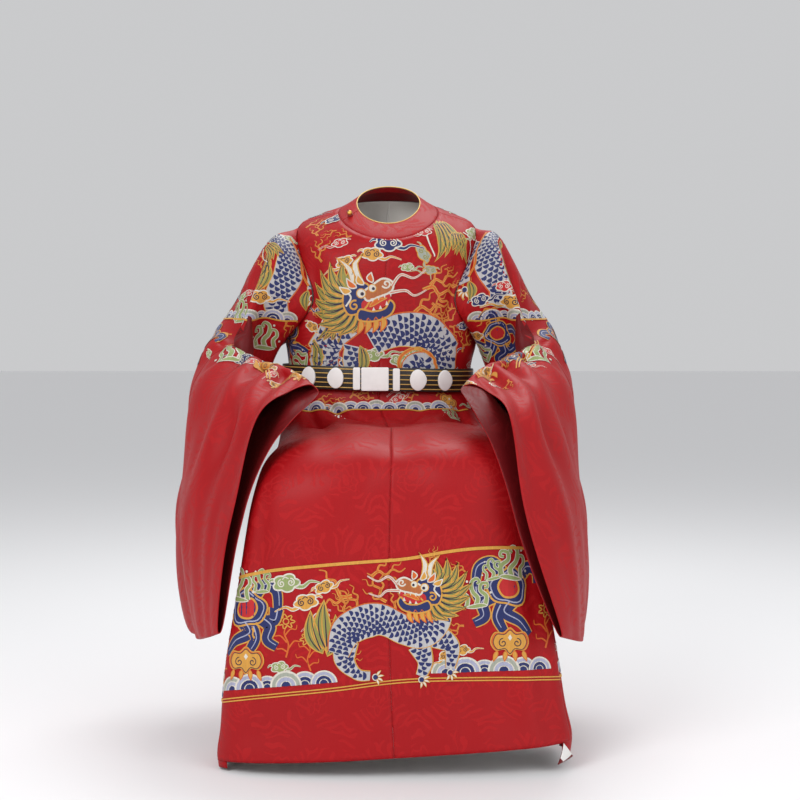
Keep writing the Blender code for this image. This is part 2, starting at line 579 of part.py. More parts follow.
def belt_strap(look):
    """The stiff strap, a closed hoop."""
    angles = np.linspace(0, 360, BELT_COLUMNS, endpoint=False)
    middle, out = belt_hoop(angles)
    up = np.array((0, 0, BELT_WIDTH / 2))
    outer = np.stack([middle + up, middle - up])
    return wall("belt_strap", outer, np.stack([out, out]), look, BELT_THICKNESS, cyclic=True)


def belt_frame(along):
    """The place at a distance along the belt from its middle, with its directions."""
    angles = np.linspace(-170, 170, 681)
    path = belt_hoop(angles)[0]
    length = np.concatenate([[0], np.cumsum(np.linalg.norm(np.diff(path, axis=0), axis=1))])
    angle = np.interp(along, length - np.interp(0, angles, length), angles)
    here, out = belt_hoop(angle)
    ahead = np.array((-out[1], out[0], 0))
    return here, ahead, np.array((0.0, 0.0, 1.0)), out


def plate(name, along, outline, look):
    """A flat plate of the given outline, just clear of the strap, its front edge chamfered."""
    here, ahead, up, out = belt_frame(along)
    outline = np.asarray(outline, float)
    middle = outline.mean(axis=0)
    chamfer = PLATE_THICKNESS * 0.2
    size = np.abs(outline - middle).max()
    layers = (
        (1.0, SEAM_GAP),
        (1.0, SEAM_GAP + PLATE_THICKNESS - chamfer),
        (1 - chamfer / size, SEAM_GAP + PLATE_THICKNESS),
    )
    count = len(outline)
    points = []
    for scale, lift in layers:
        flat = middle + (outline - middle) * scale
        points += [here + ahead * p[0] + up * p[1] + out * lift for p in flat]
    faces = [tuple(range(count))[::-1], tuple(range(2 * count, 3 * count))]
    for r in range(2):
        for k in range(count):
            after = (k + 1) % count
            faces.append((r * count + k, r * count + after, (r + 1) * count + after, (r + 1) * count + k))
    return solid(name, points, faces, look)


def rounded_rectangle(width, height, radius, steps=3):
    across, up = width / 2 - radius, height / 2 - radius
    points = []
    for corner, (x, y) in enumerate(((1, 1), (-1, 1), (-1, -1), (1, -1))):
        for a in np.linspace(0, np.pi / 2, steps) + corner * np.pi / 2:
            points.append((x * across + radius * np.cos(a), y * up + radius * np.sin(a)))
    return points


def peach_outline(width, height, towards, steps=20):
    """A rounded plate that runs to a soft point on one side."""
    points = []
    for a in np.linspace(0, 2 * np.pi, steps, endpoint=False):
        taper = 0.12 * max(np.cos(a), 0) ** 6
        points.append((towards * width / 2 * (np.cos(a) * 0.94 + taper), height / 2 * np.sin(a)))
    return points if towards > 0 else points[::-1]


def main():
    for old in list(bpy.data.objects):
        bpy.data.objects.remove(old, do_unlink=True)
    cloth = material("red_brocade", RED, 0.55)
    band = material("red_collar_cloth", RED, 0.5)
    leather = material("belt_leather", LEATHER, 0.45)
    jade = material("belt_plates", JADE, 0.2)
    gilt = material("bead_button", GOLD, 0.35, 0.8)
    for side, hand in ((1, "left"), (-1, "right")):
        body_panel(f"front_{hand}", side, False, cloth)
        body_panel(f"back_{hand}", side, True, cloth)
        side_flap(f"side_flap_{hand}", side, FLAP_DROP[hand], cloth)
        sleeve_wall(f"sleeve_upper_{hand}", side, 0.0, EXTENSION_ROW, cloth)
        sleeve_wall(f"sleeve_lower_{hand}", side, EXTENSION_ROW, 10.0, cloth)
    collar(band)
    button(gilt)
    button_loop(band)
    belt_strap(leather)
    for row in (dict(zip(PLATE_COLUMNS, values)) for values in PLATES):
        outline = rounded_rectangle(row["width"], row["height"], row["rounding"])
        plate(row["name"], row["along"], outline, jade)
    for row in (dict(zip(PEACH_COLUMNS, values)) for values in PEACHES):
        plate(row["name"], row["along"], peach_outline(row["width"], row["height"], row["point"]), jade)


main()
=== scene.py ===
# A round collar robe of red silk, woven with coloured figures, worn seated and closed by a stiff belt.
# X runs to the wearer's left, -Y is the front, Z is up, in metres, with the origin at the shoulders.

import math

import bpy
import numpy as np
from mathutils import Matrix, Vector, geometry
from mathutils.bvhtree import BVHTree


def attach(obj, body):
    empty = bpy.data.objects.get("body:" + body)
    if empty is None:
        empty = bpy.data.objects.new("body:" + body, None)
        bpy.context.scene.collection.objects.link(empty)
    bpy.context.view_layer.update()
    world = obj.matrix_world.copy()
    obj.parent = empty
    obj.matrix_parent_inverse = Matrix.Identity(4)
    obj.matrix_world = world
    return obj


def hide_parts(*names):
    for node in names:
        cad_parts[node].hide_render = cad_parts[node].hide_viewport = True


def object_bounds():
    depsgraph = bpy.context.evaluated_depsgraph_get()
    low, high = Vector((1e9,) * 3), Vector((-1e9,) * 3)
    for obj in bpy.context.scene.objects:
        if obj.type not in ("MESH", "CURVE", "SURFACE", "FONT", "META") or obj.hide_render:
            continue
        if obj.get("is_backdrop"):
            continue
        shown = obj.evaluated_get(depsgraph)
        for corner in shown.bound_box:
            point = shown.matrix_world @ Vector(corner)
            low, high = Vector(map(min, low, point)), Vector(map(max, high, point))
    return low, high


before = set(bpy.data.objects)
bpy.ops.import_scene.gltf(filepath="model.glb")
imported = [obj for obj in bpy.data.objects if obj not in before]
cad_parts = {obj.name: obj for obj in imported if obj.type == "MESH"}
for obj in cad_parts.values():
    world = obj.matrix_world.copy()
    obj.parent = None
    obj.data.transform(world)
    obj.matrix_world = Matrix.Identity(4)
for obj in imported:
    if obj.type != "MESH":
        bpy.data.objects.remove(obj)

cad_low, cad_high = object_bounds()
scene = bpy.context.scene

# The studio: a pale floor just under the hem, a pale room and three soft lights.
# The camera stands 3.55 m in front of the shoulders at the height of the waist.
FLOOR_GAP = 0.0012
FLOOR_SIZE = 60.0
CAMERA_PLACE = (0.016, -3.55, -0.25)
CAMERA_DOWN = 2.3
CAMERA_ANGLE = 26.6
PHOTO_PIXELS = 800
LIGHTS = (  # name, place, aim, size, watts
    ("key", (-1.7, -3.0, 1.5), (0.0, -0.2, -0.45), 1.6, 62.0),
    ("fill", (2.3, -2.9, 0.7), (0.0, -0.3, -0.5), 2.4, 34.0),
    ("top", (0.3, 1.2, 2.2), (0.0, 0.0, -0.3), 1.6, 45.0),
)

camera = bpy.data.objects.new("camera", bpy.data.cameras.new("camera"))
camera.location = CAMERA_PLACE
camera.rotation_euler = (math.radians(90 - CAMERA_DOWN), 0, 0)
camera.data.angle = math.radians(CAMERA_ANGLE)
camera.data.clip_end = 100
scene.collection.objects.link(camera)
scene.camera = camera
scene.view_settings.view_transform = "Standard"

room = bpy.data.worlds.new("pale_room")
room.use_nodes = True
room.node_tree.nodes["Background"].inputs["Color"].default_value = (0.95, 0.955, 0.97, 1)
room.node_tree.nodes["Background"].inputs["Strength"].default_value = 0.62
scene.world = room

for name, place, aim, size, watts in LIGHTS:
    light = bpy.data.lights.new(name, "AREA")
    light.energy, light.size = watts, size
    lamp = bpy.data.objects.new(name, light)
    lamp.location = place
    lamp.rotation_euler = (Vector(aim) - Vector(place)).to_track_quat("-Z", "Y").to_euler()
    scene.collection.objects.link(lamp)

floor_mesh = bpy.data.meshes.new("floor")
half, low = FLOOR_SIZE / 2, cad_low.z - FLOOR_GAP
floor_mesh.from_pydata([(-half, -half, low), (half, -half, low), (half, half, low), (-half, half, low)], [], [(0, 1, 2, 3)])
floor = bpy.data.objects.new("floor", floor_mesh)
scene.collection.objects.link(floor)
pale = bpy.data.materials.new("pale_floor")
pale.use_nodes = True
pale.node_tree.nodes["Principled BSDF"].inputs["Base Color"].default_value = (0.88, 0.88, 0.89, 1)
pale.node_tree.nodes["Principled BSDF"].inputs["Roughness"].default_value = 0.8
floor_mesh.materials.append(pale)
floor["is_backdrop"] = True

# The robe's cloth: a satin silk about 1 mm thick with its turned edges, cut straight and worn over
# the lap. Its form is the sections below, the same as the solids', with the smaller creases added.
HELD_HEIGHT = 1.02
BODY_COLUMNS = (
    "front_y", "front_z", "back_y", "back_z", "half_width", "squareness", "rise", "tilt", "mid_x",
)
BODY = (
    (-0.085, 0.992, 0.055, 1.078, 0.066, 2.0, 0.004, 0.000, -0.008),  # collar, inner edge
    (-0.128, 0.957, 0.088, 1.052, 0.104, 2.0, 0.014, 0.000, -0.008),  # collar seam
    (-0.136, 0.928, 0.110, 1.025, 0.146, 2.1, 0.030, 0.000, -0.010),  # yoke
    (-0.140, 0.903, 0.120, 0.985, 0.184, 2.2, 0.044, 0.000, -0.012),  # shoulder tip
    (-0.142, 0.865, 0.125, 0.935, 0.194, 2.2, 0.028, 0.000, -0.014),  # armhole
    (-0.143, 0.825, 0.127, 0.872, 0.197, 2.3, 0.010, 0.000, -0.017),  # chest
    (-0.144, 0.785, 0.127, 0.805, 0.198, 2.3, 0.000, 0.000, -0.020),  # armhole, low
    (-0.146, 0.745, 0.126, 0.750, 0.198, 2.3, 0.000, 0.000, -0.023),  # underarm
    (-0.149, 0.701, 0.120, 0.701, 0.190, 2.3, 0.000, 0.000, -0.026),  # belt, top edge
    (-0.151, 0.653, 0.119, 0.653, 0.190, 2.3, 0.000, 0.000, -0.027),  # belt, bottom edge
    (-0.162, 0.622, 0.128, 0.600, 0.200, 2.4, 0.000, 0.000, -0.024),  # waist crease
    (-0.182, 0.607, 0.140, 0.540, 0.212, 2.5, 0.000, 0.002, -0.018),  # hip
    (-0.207, 0.602, 0.130, 0.472, 0.222, 2.6, 0.000, 0.004, -0.012),  # seat, behind
    (-0.238, 0.600, 0.080, 0.428, 0.228, 2.7, 0.000, 0.006, -0.008),  # seat
    (-0.280, 0.600, 0.000, 0.415, 0.232, 2.7, 0.000, 0.006, -0.004),  # thigh
    (-0.340, 0.598, -0.100, 0.413, 0.235, 2.7, 0.000, 0.006, 0.000),
    (-0.405, 0.594, -0.200, 0.413, 0.238, 2.7, 0.000, 0.006, 0.000),
    (-0.468, 0.588, -0.300, 0.415, 0.241, 2.8, 0.000, 0.008, 0.000),
    (-0.527, 0.573, -0.360, 0.415, 0.246, 2.9, 0.000, 0.012, 0.000),  # knee, top
    (-0.570, 0.545, -0.385, 0.405, 0.252, 3.0, 0.000, 0.016, 0.000),
    (-0.592, 0.503, -0.395, 0.380, 0.260, 3.0, 0.000, 0.018, -0.001),  # knee, front
    (-0.600, 0.445, -0.398, 0.345, 0.268, 3.0, 0.000, 0.020, -0.002),
    (-0.605, 0.375, -0.398, 0.300, 0.277, 3.0, 0.000, 0.022, -0.003),
    (-0.610, 0.300, -0.396, 0.245, 0.289, 3.0, 0.000, 0.024, -0.003),
    (-0.617, 0.225, -0.392, 0.190, 0.301, 3.0, 0.000, 0.024, -0.002),
    (-0.625, 0.150, -0.388, 0.130, 0.310, 3.0, 0.000, 0.023, 0.000),
    (-0.633, 0.085, -0.384, 0.072, 0.317, 3.0, 0.000, 0.022, 0.003),
    (-0.640, 0.030, -0.380, 0.024, 0.326, 3.0, 0.000, 0.020, 0.006),  # hem
    (-0.641, -0.006, -0.376, -0.012, 0.322, 3.0, 0.000, 0.020, 0.008),  # where a longer flap ends
)
SEAM_ROW, TIP_ROW, UNDERARM_ROW, SLIT_ROW, HEM_ROW = 1, 3, 7, 12, 27
SIDE_SEAM, FRONT_BITE, BACK_BITE, FRONT_EDGE, SLIT_ROWS = 90.0, 45.0, 24.0, 64.0, 3.0
FLAP_PLEAT, FLAP_PLEATS, FLAP_STRIPS = 0.022, 2, 8
FLAP_DROP = {"left": 0.9, "right": 0.3}
FLAP_UNDER = 0.0023
# Folds: (row, rows, angle, degrees, out), the large ones of the solids.
FOLDS = (
    (13.5, 2.8, 2.0, 24.0, -0.016), (17.5, 1.8, 4.0, 15.0, -0.012), (20.5, 2.2, 0.0, 20.0, -0.010),
    (12.0, 1.2, -34.0, 10.0, -0.014), (12.4, 1.3, 36.0, 10.0, -0.012), (23.5, 3.5, -40.0, 12.0, -0.006),
    (24.5, 3.0, 34.0, 10.0, -0.006), (25.5, 2.0, -14.0, 9.0, 0.005), (20.0, 4.0, 178.0, 26.0, 0.008),
    (24.0, 4.0, 150.0, 10.0, -0.008), (24.0, 4.0, -150.0, 10.0, -0.008),
    (9.6, 0.8, 150.0, 14.0, -0.006), (9.6, 0.8, -150.0, 14.0, -0.006),
)
# Creases: (row, angle, to_row, to_angle, width in rows, out), each a soft line listed one by one.
CREASES = (
    (9.9, -30.0, 11.6, -14.0, 0.40, -0.019), (10.0, -44.0, 12.6, -34.0, 0.50, -0.011),
    (10.4, 22.0, 12.2, 10.0, 0.44, -0.011), (10.2, 48.0, 13.0, 40.0, 0.50, -0.011),
    (10.6, 36.0, 12.4, 24.0, 0.34, 0.006), (11.9, -34.0, 15.0, -30.0, 0.5, -0.008),
    (11.4, 8.0, 14.2, 26.0, 0.50, -0.006), (11.2, -4.0, 13.6, -20.0, 0.50, -0.005),
    (3.4, 47.0, 6.4, 38.0, 0.50, -0.006), (3.4, -47.0, 6.6, -40.0, 0.50, -0.006),
    (6.6, -26.0, 8.2, -36.0, 0.35, -0.004), (6.9, 20.0, 8.2, 30.0, 0.35, -0.004),
    (2.0, 24.0, 4.2, 36.0, 0.45, -0.003), (2.2, -30.0, 4.8, -20.0, 0.45, -0.003),
    (7.6, -6.0, 8.2, 14.0, 0.30, -0.003), (14.5, -30.0, 18.5, -24.0, 0.8, -0.005),
    (15.0, 30.0, 18.6, 22.0, 0.8, -0.005), (18.6, -6.0, 22.5, -22.0, 0.7, -0.005),
    (19.0, 8.0, 23.0, 20.0, 0.7, -0.004), (19.6, -50.0, 26.0, -46.0, 0.6, -0.006),
    (19.8, 52.0, 26.4, 50.0, 0.6, -0.006), (22.6, -30.0, 26.8, -32.0, 0.6, -0.004),
    (22.8, 28.0, 26.8, 22.0, 0.6, -0.004), (23.6, 42.0, 27.0, 44.0, 0.5, 0.003),
    (3.0, 160.0, 7.0, 152.0, 0.6, -0.006), (3.4, -160.0, 7.2, -150.0, 0.6, -0.006),
    (9.8, 172.0, 12.6, 168.0, 0.6, -0.008), (9.8, -166.0, 12.4, -160.0, 0.6, -0.008),
    (10.0, 140.0, 13.4, 146.0, 0.6, -0.009), (10.0, -142.0, 13.0, -146.0, 0.6, -0.008),
    (16.0, 165.0, 25.0, 168.0, 0.8, -0.008), (17.0, -170.0, 26.0, -164.0, 0.8, -0.008),
    (18.0, 130.0, 26.5, 136.0, 0.7, -0.006), (18.0, -134.0, 26.5, -138.0, 0.7, -0.006),
)
DEGREES_PER_ROW = 12.0
LEFT_SLEEVE = (
    (0.186, 0.000, 0.983, 0.186, 0.005, 0.905, 0.186, 0.000, 0.820, 0.186, -0.002, 0.742, 0.118, 0.085, 8),
    (0.218, 0.012, 0.960, 0.218, 0.045, 0.880, 0.210, 0.020, 0.790, 0.200, -0.010, 0.710, 0.112, 0.085, 8),
    (0.252, 0.030, 0.910, 0.258, 0.060, 0.825, 0.248, 0.030, 0.725, 0.235, -0.030, 0.630, 0.104, 0.076, 6),
    (0.284, 0.055, 0.845, 0.292, 0.072, 0.755, 0.290, 0.025, 0.630, 0.275, -0.050, 0.510, 0.096, 0.060, 14),
    (0.298, 0.090, 0.790, 0.314, 0.090, 0.680, 0.326, 0.035, 0.530, 0.318, -0.045, 0.390, 0.086, 0.050, 40),
    (0.286, 0.145, 0.752, 0.322, 0.140, 0.640, 0.350, 0.100, 0.460, 0.350, 0.020, 0.290, 0.075, 0.042, 68),
    (0.250, 0.210, 0.730, 0.315, 0.215, 0.620, 0.360, 0.190, 0.430, 0.364, 0.130, 0.225, 0.064, 0.036, 86),
    (0.208, 0.272, 0.714, 0.292, 0.300, 0.625, 0.352, 0.310, 0.430, 0.362, 0.270, 0.195, 0.056, 0.030, 95),
    (0.172, 0.330, 0.702, 0.264, 0.392, 0.628, 0.334, 0.430, 0.430, 0.352, 0.400, 0.195, 0.052, 0.026, 104),
    (0.150, 0.380, 0.686, 0.238, 0.494, 0.626, 0.306, 0.562, 0.430, 0.340, 0.536, 0.215, 0.032, 0.016, 114),
    (0.138, 0.420, 0.672, 0.188, 0.566, 0.608, 0.232, 0.644, 0.420, 0.296, 0.628, 0.240, 0.030, 0.012, 122),
)
RIGHT_SLEEVE = (
    (0.214, 0.000, 0.983, 0.216, 0.005, 0.905, 0.218, 0.000, 0.820, 0.222, -0.002, 0.742, 0.118, 0.085, 8),
    (0.248, 0.012, 0.955, 0.250, 0.045, 0.875, 0.250, 0.020, 0.790, 0.252, -0.010, 0.724, 0.112, 0.085, 8),
    (0.288, 0.030, 0.900, 0.294, 0.060, 0.815, 0.288, 0.030, 0.725, 0.282, -0.030, 0.645, 0.104, 0.076, 6),
    (0.318, 0.055, 0.840, 0.324, 0.072, 0.750, 0.320, 0.025, 0.625, 0.305, -0.050, 0.510, 0.096, 0.060, 14),
    (0.332, 0.090, 0.785, 0.346, 0.090, 0.675, 0.356, 0.035, 0.530, 0.348, -0.045, 0.390, 0.086, 0.050, 40),
    (0.324, 0.145, 0.748, 0.364, 0.140, 0.640, 0.396, 0.100, 0.460, 0.392, 0.020, 0.290, 0.075, 0.042, 68),
    (0.284, 0.210, 0.726, 0.356, 0.215, 0.620, 0.404, 0.190, 0.430, 0.398, 0.130, 0.225, 0.064, 0.036, 86),
    (0.240, 0.272, 0.710, 0.326, 0.300, 0.625, 0.392, 0.310, 0.430, 0.388, 0.270, 0.195, 0.056, 0.030, 95),
    (0.196, 0.330, 0.700, 0.286, 0.390, 0.625, 0.360, 0.420, 0.430, 0.364, 0.400, 0.195, 0.052, 0.026, 104),
    (0.162, 0.380, 0.684, 0.250, 0.465, 0.612, 0.316, 0.510, 0.425, 0.336, 0.500, 0.215, 0.036, 0.020, 114),
    (0.140, 0.420, 0.668, 0.222, 0.530, 0.598, 0.276, 0.580, 0.420, 0.305, 0.565, 0.235, 0.030, 0.012, 122),
)
LAST_STATION, JOIN_STATIONS, EXTENSION_ROW = 10.0, 1.5, 5.6
# Sleeve folds: (station, turn, to_station, to_turn, width, out). The first rows are the solids'.
SLEEVE_FOLDS = (
    (1.0, 0.42, 3.6, 0.80, 0.50, -0.014), (2.0, 0.28, 3.8, 0.50, 0.45, -0.012),
    (3.2, 0.26, 4.6, 0.34, 0.40, -0.016), (4.0, 0.44, 5.4, 0.62, 0.45, -0.014),
    (4.4, 1.74, 5.6, 1.46, 0.45, -0.016), (5.4, 1.72, 6.6, 1.38, 0.45, -0.014),
    (6.6, 1.80, 7.6, 1.54, 0.40, -0.016), (7.5, 1.86, 8.6, 1.56, 0.38, -0.018),
    (8.5, 1.88, 9.5, 1.60, 0.34, -0.014), (7.0, 1.46, 7.9, 1.14, 0.45, -0.010),
    (8.6, 1.48, 8.9, 1.14, 0.40, -0.008), (5.0, 1.40, 5.4, 1.10, 0.55, -0.012),
    (1.0, 1.62, 2.8, 1.36, 0.50, -0.012), (2.4, 1.72, 4.0, 1.30, 0.50, -0.014),
)
SLEEVE_CREASES = (
    (0.8, 0.20, 2.6, 0.34, 0.28, -0.006), (1.4, 0.52, 3.2, 0.62, 0.30, -0.007),
    (2.8, 0.14, 4.4, 0.20, 0.26, -0.008), (3.4, 0.38, 5.0, 0.46, 0.28, -0.007),
    (5.2, 1.92, 6.1, 1.74, 0.24, -0.008), (6.1, 1.93, 6.9, 1.72, 0.22, -0.009),
    (7.0, 1.95, 8.0, 1.74, 0.22, -0.009), (8.0, 1.94, 8.9, 1.76, 0.20, -0.008),
    (9.0, 1.92, 9.8, 1.74, 0.20, -0.007), (7.6, 1.62, 9.6, 1.50, 0.26, -0.007),
    (6.2, 1.34, 6.6, 1.06, 0.30, -0.007), (7.4, 1.30, 7.7, 1.04, 0.28, -0.006),
    (8.2, 1.36, 8.4, 1.06, 0.26, -0.005), (9.3, 1.40, 9.4, 1.10, 0.24, -0.004),
    (4.2, 1.36, 4.6, 1.08, 0.32, -0.008), (5.8, 1.56, 6.3, 1.30, 0.24, -0.007),
    (1.2, 1.80, 2.6, 1.70, 0.30, -0.007), (3.2, 1.66, 4.6, 1.50, 0.30, -0.008),
    (6.0, 0.30, 8.2, 0.40, 0.30, -0.006), (7.6, 0.22, 9.4, 0.30, 0.26, -0.006),
    (6.6, 0.62, 7.0, 0.90, 0.32, -0.006), (8.2, 0.58, 8.6, 0.88, 0.30, -0.005),
)
# Where the sleeve bends so tightly that its cloth would cross itself, and is drawn out smooth.
SLEEVE_EASES = (  # station, turn, reach in stations, reach in turns
    (0.9, 1.61, 0.9, 0.20), (1.8, 1.64, 1.0, 0.22), (2.8, 1.64, 1.0, 0.20),
)
EASING_PASSES = 90
TURN_LENGTH = 3.2
CLOTH_STEP = 0.0075
SEAM_DRAW = 0.00012
WALL = 0.0014


def smooth_between(before, here, there, after, u):
    """A point on the smooth curve from here to there, u of the way, between its two neighbours."""
    start, end = (there - before) / 2, (after - here) / 2
    u2, u3 = u * u, u * u * u
    leave, arrive = u3 - 2 * u2 + u, u3 - u2
    return here * (2 * u3 - 3 * u2 + 1) + start * leave + there * (3 * u2 - 2 * u3) + end * arrive


def eased(share):
    return share * share * (3 - 2 * share)


def through(rows, at):
    """Rows of a table at fractional row numbers, on smooth curves through its rows."""
    rows = np.asarray(rows, float)
    at = np.clip(np.asarray(at, float), 0, len(rows) - 1)
    i = np.minimum(at.astype(int), len(rows) - 2)
    before, after = rows[np.maximum(i - 1, 0)], rows[np.minimum(i + 2, len(rows) - 1)]
    return smooth_between(before, rows[i], rows[i + 1], after, (at - i)[..., None])


def unit(vectors):
    return vectors / np.maximum(np.linalg.norm(vectors, axis=-1, keepdims=True), 1e-12)


def bump(distance, reach):
    return np.exp(-((distance / reach) ** 2) * 2)


def line_distance(u, v, u0, v0, u1, v1):
    """How far each (u, v) is from a line, and how far along it the nearest point is."""
    along = np.clip(((u - u0) * (u1 - u0) + (v - v0) * (v1 - v0)) / ((u1 - u0) ** 2 + (v1 - v0) ** 2), 0, 1)
    return np.hypot(u - u0 - along * (u1 - u0), v - v0 - along * (v1 - v0)), along


def body_bare(row, angle):
    """The body's surface without its folds, at table rows and angles in degrees."""
    row, angle = np.broadcast_arrays(np.asarray(row, float), np.asarray(angle, float))
    front_y, front_z, back_y, back_z, half, square, rise, tilt, mid = np.moveaxis(through(BODY, row), -1, 0)
    side, ahead = np.sin(np.radians(angle)), np.cos(np.radians(angle))
    reach = (np.abs(side) ** square + np.abs(ahead) ** square) ** (-1 / square)
    x = mid + half * reach * side
    y = (front_y + back_y) / 2 + (front_y - back_y) / 2 * reach * ahead
    z = (front_z + back_z) / 2 + (front_z - back_z) / 2 * reach * ahead + rise * side**2 + tilt * side
    return np.stack([x, y, z - HELD_HEIGHT], axis=-1)


def body_normal(row, angle, surface=body_bare):
    along = surface(row + 0.02, angle) - surface(row - 0.02, angle)
    around = surface(row, angle + 1.0) - surface(row, angle - 1.0)
    return unit(np.cross(along, around))


def body(row, angle):
    """The body's outer surface, with its large folds."""
    row, angle = np.broadcast_arrays(np.asarray(row, float), np.asarray(angle, float))
    out = np.zeros(row.shape)
    for fold_row, rows, fold_angle, degrees, depth in FOLDS:
        turn = (angle - fold_angle + 180) % 360 - 180
        out += depth * bump(row - fold_row, rows) * bump(turn, degrees)
    return body_bare(row, angle) + body_normal(row, angle) * out[..., None]


def panel_edge(row, behind=False):
    """The angle from a panel's middle to its side seam, its armhole or its edge beside the slit."""
    down = np.clip((np.asarray(row, float) - TIP_ROW) / (UNDERARM_ROW - TIP_ROW), 0, 1)
    bite = (BACK_BITE if behind else FRONT_BITE) * np.sin(np.pi * down) ** 0.7
    slit = np.clip((np.asarray(row, float) - SLIT_ROW) / SLIT_ROWS, 0, 1)
    return SIDE_SEAM - bite - (SIDE_SEAM - FRONT_EDGE) * eased(slit)


def hung(table, station, part):
    """A point of the sleeve's middle sheet: at a station, part of the way from its top line down."""
    values = through(table, station)
    lines = np.stack([values[..., 0:3], values[..., 3:6], values[..., 6:9], values[..., 9:12]])
    at = np.clip(part, 0, 1) * 3
    i = np.minimum(at.astype(int), 2)
    index = np.arange(len(part))
    before, here = lines[np.maximum(i - 1, 0), index], lines[i, index]
    there, after = lines[i + 1, index], lines[np.minimum(i + 2, 3), index]
    curve = smooth_between(before, here, there, after, (at - i)[..., None])
    return curve, values[..., 12], values[..., 13], np.radians(values[..., 14])


def sleeve_bare(side, station, turn):
    """The sleeve's outer surface, for equal arrays of stations and turns."""
    table = np.asarray(LEFT_SLEEVE if side > 0 else RIGHT_SLEEVE)
    shape = station.shape
    station, turn = station.ravel(), turn.ravel() % 2
    level = np.where(turn <= 1, turn, 2 - turn)
    part = (1 - np.cos(np.pi * level)) / 2
    sheet, arm, sack, heading = hung(table, station, part)
    down = unit(hung(table, station, part + 0.02)[0] - hung(table, station, part - 0.02)[0])
    inward = np.stack([-np.sin(heading), np.cos(heading), 0 * heading], axis=-1)
    across = unit(inward - down * np.sum(inward * down, axis=-1, keepdims=True))
    ease = np.clip((part - 0.25) / 0.35, 0, 1)
    depth = (arm + (sack - arm) * eased(ease)) * np.sin(np.pi * level) ** 0.75
    points = sheet + across * (depth * np.where(turn <= 1, 1, -1))[:, None]
    points = points * (side, -1, 1) - (0, 0, HELD_HEIGHT)
    return points.reshape(*shape, 3)


def sleeve_joined(side, station, turn):
    """The sleeve with its first stations drawn to the armhole's edge."""
    level = np.where(turn % 2 <= 1, turn % 2, 2 - turn % 2)
    rows = TIP_ROW + (UNDERARM_ROW - TIP_ROW) * (1 - np.cos(np.pi * level)) / 2
    angles = side * np.where(turn % 2 <= 1, panel_edge(rows), 180 - panel_edge(rows, True))
    away = body(rows, angles) - sleeve_bare(side, np.zeros(turn.shape), turn)
    part = np.clip(station / JOIN_STATIONS, 0, 1)
    return sleeve_bare(side, station, turn) + away * (1 - eased(part))[..., None]


def grid_normals(points, cyclic=False):
    """Outward normals of a grid of points whose rows run down and whose columns run round."""
    if cyclic:
        across = np.roll(points, -1, axis=1) - np.roll(points, 1, axis=1)
    else:
        across = np.gradient(points, axis=1)
    return unit(np.cross(np.gradient(points, axis=0), across))


def lengths_along(points, axis):
    """How far along its own line each point of a grid is."""
    steps = np.linalg.norm(np.diff(points, axis=axis), axis=-1)
    start = np.zeros_like(np.take(steps, [0], axis=axis))
    return np.concatenate([start, np.cumsum(steps, axis=axis)], axis=axis)


class Sheet:
    """One stretch of cloth as a fine grid of outer points, which figures can be laid on."""

    def __init__(self, name, points, chart, cyclic=False, outward=1):
        self.name, self.points, self.chart, self.cyclic = name, points, chart, cyclic
        self.normals = grid_normals(points, cyclic) * outward
        wide = np.concatenate([points[:, -2:], points, points[:, :2]], axis=1) if cyclic else points
        across = (np.roll(wide, -1, 1) - np.roll(wide, 1, 1))[:, 2:-2] / 2 if cyclic else np.gradient(points, axis=1)
        self.slopes = np.stack([np.gradient(points, axis=0), across], axis=-1)

    def read(self, grid, i, j):
        """The grid's values at fractional places, between its four nearest points."""
        rows, columns = grid.shape[:2]
        i = np.clip(i, 0, rows - 1)
        j = j % columns if self.cyclic else np.clip(j, 0, columns - 1)
        i0 = np.minimum(i.astype(int), rows - 2)
        j0 = j.astype(int) % columns if self.cyclic else np.minimum(j.astype(int), columns - 2)
        j1 = (j0 + 1) % columns
        extra = (None,) * (grid.ndim - 2)
        u, v = (i - i0)[(..., *extra)], (j - np.floor(j) if self.cyclic else j - j0)[(..., *extra)]
        above = grid[i0, j0] * (1 - v) + grid[i0, j1] * v
        below = grid[i0 + 1, j0] * (1 - v) + grid[i0 + 1, j1] * v
        return above * (1 - u) + below * u

    def walk(self, i, j, arrow, steps=6):
        """Goes from one place along arrows that lie on the cloth. It returns places and what went off."""
        i, j = np.full(len(arrow), 1.0) * i, np.full(len(arrow), 1.0) * j
        length = np.linalg.norm(arrow, axis=1, keepdims=True)
        off = np.zeros(len(arrow), bool)
        rows, columns = self.points.shape[:2]
        for _ in range(steps):
            normal = unit(self.read(self.normals, i, j))
            flat = unit(arrow - normal * np.sum(arrow * normal, axis=1, keepdims=True)) * length / steps
            slopes = self.read(self.slopes, i, j)
            square = np.einsum("nki,nkj->nij", slopes, slopes) + np.eye(2) * 1e-10
            right = np.einsum("nki,nk->ni", slopes, flat)
            move = np.linalg.solve(square, right[..., None])[..., 0]
            i, j = i + move[:, 0], j + move[:, 1]
            off |= (i < 0) | (i > rows - 1)
            i = np.clip(i, 0, rows - 1)
            if not self.cyclic:
                off |= (j < 0) | (j > columns - 1)
                j = np.clip(j, 0, columns - 1)
        return i, j, off


def even_rows(first, last, angle=20.0):
    """Table rows from first to last at even distances down the front."""
    fine = np.linspace(first, last, 1200)
    down = lengths_along(body_bare(fine, np.full(1200, angle))[:, None], 0)[:, 0]
    return np.interp(np.linspace(0, down[-1], int(down[-1] / CLOTH_STEP) + 1), down, fine)


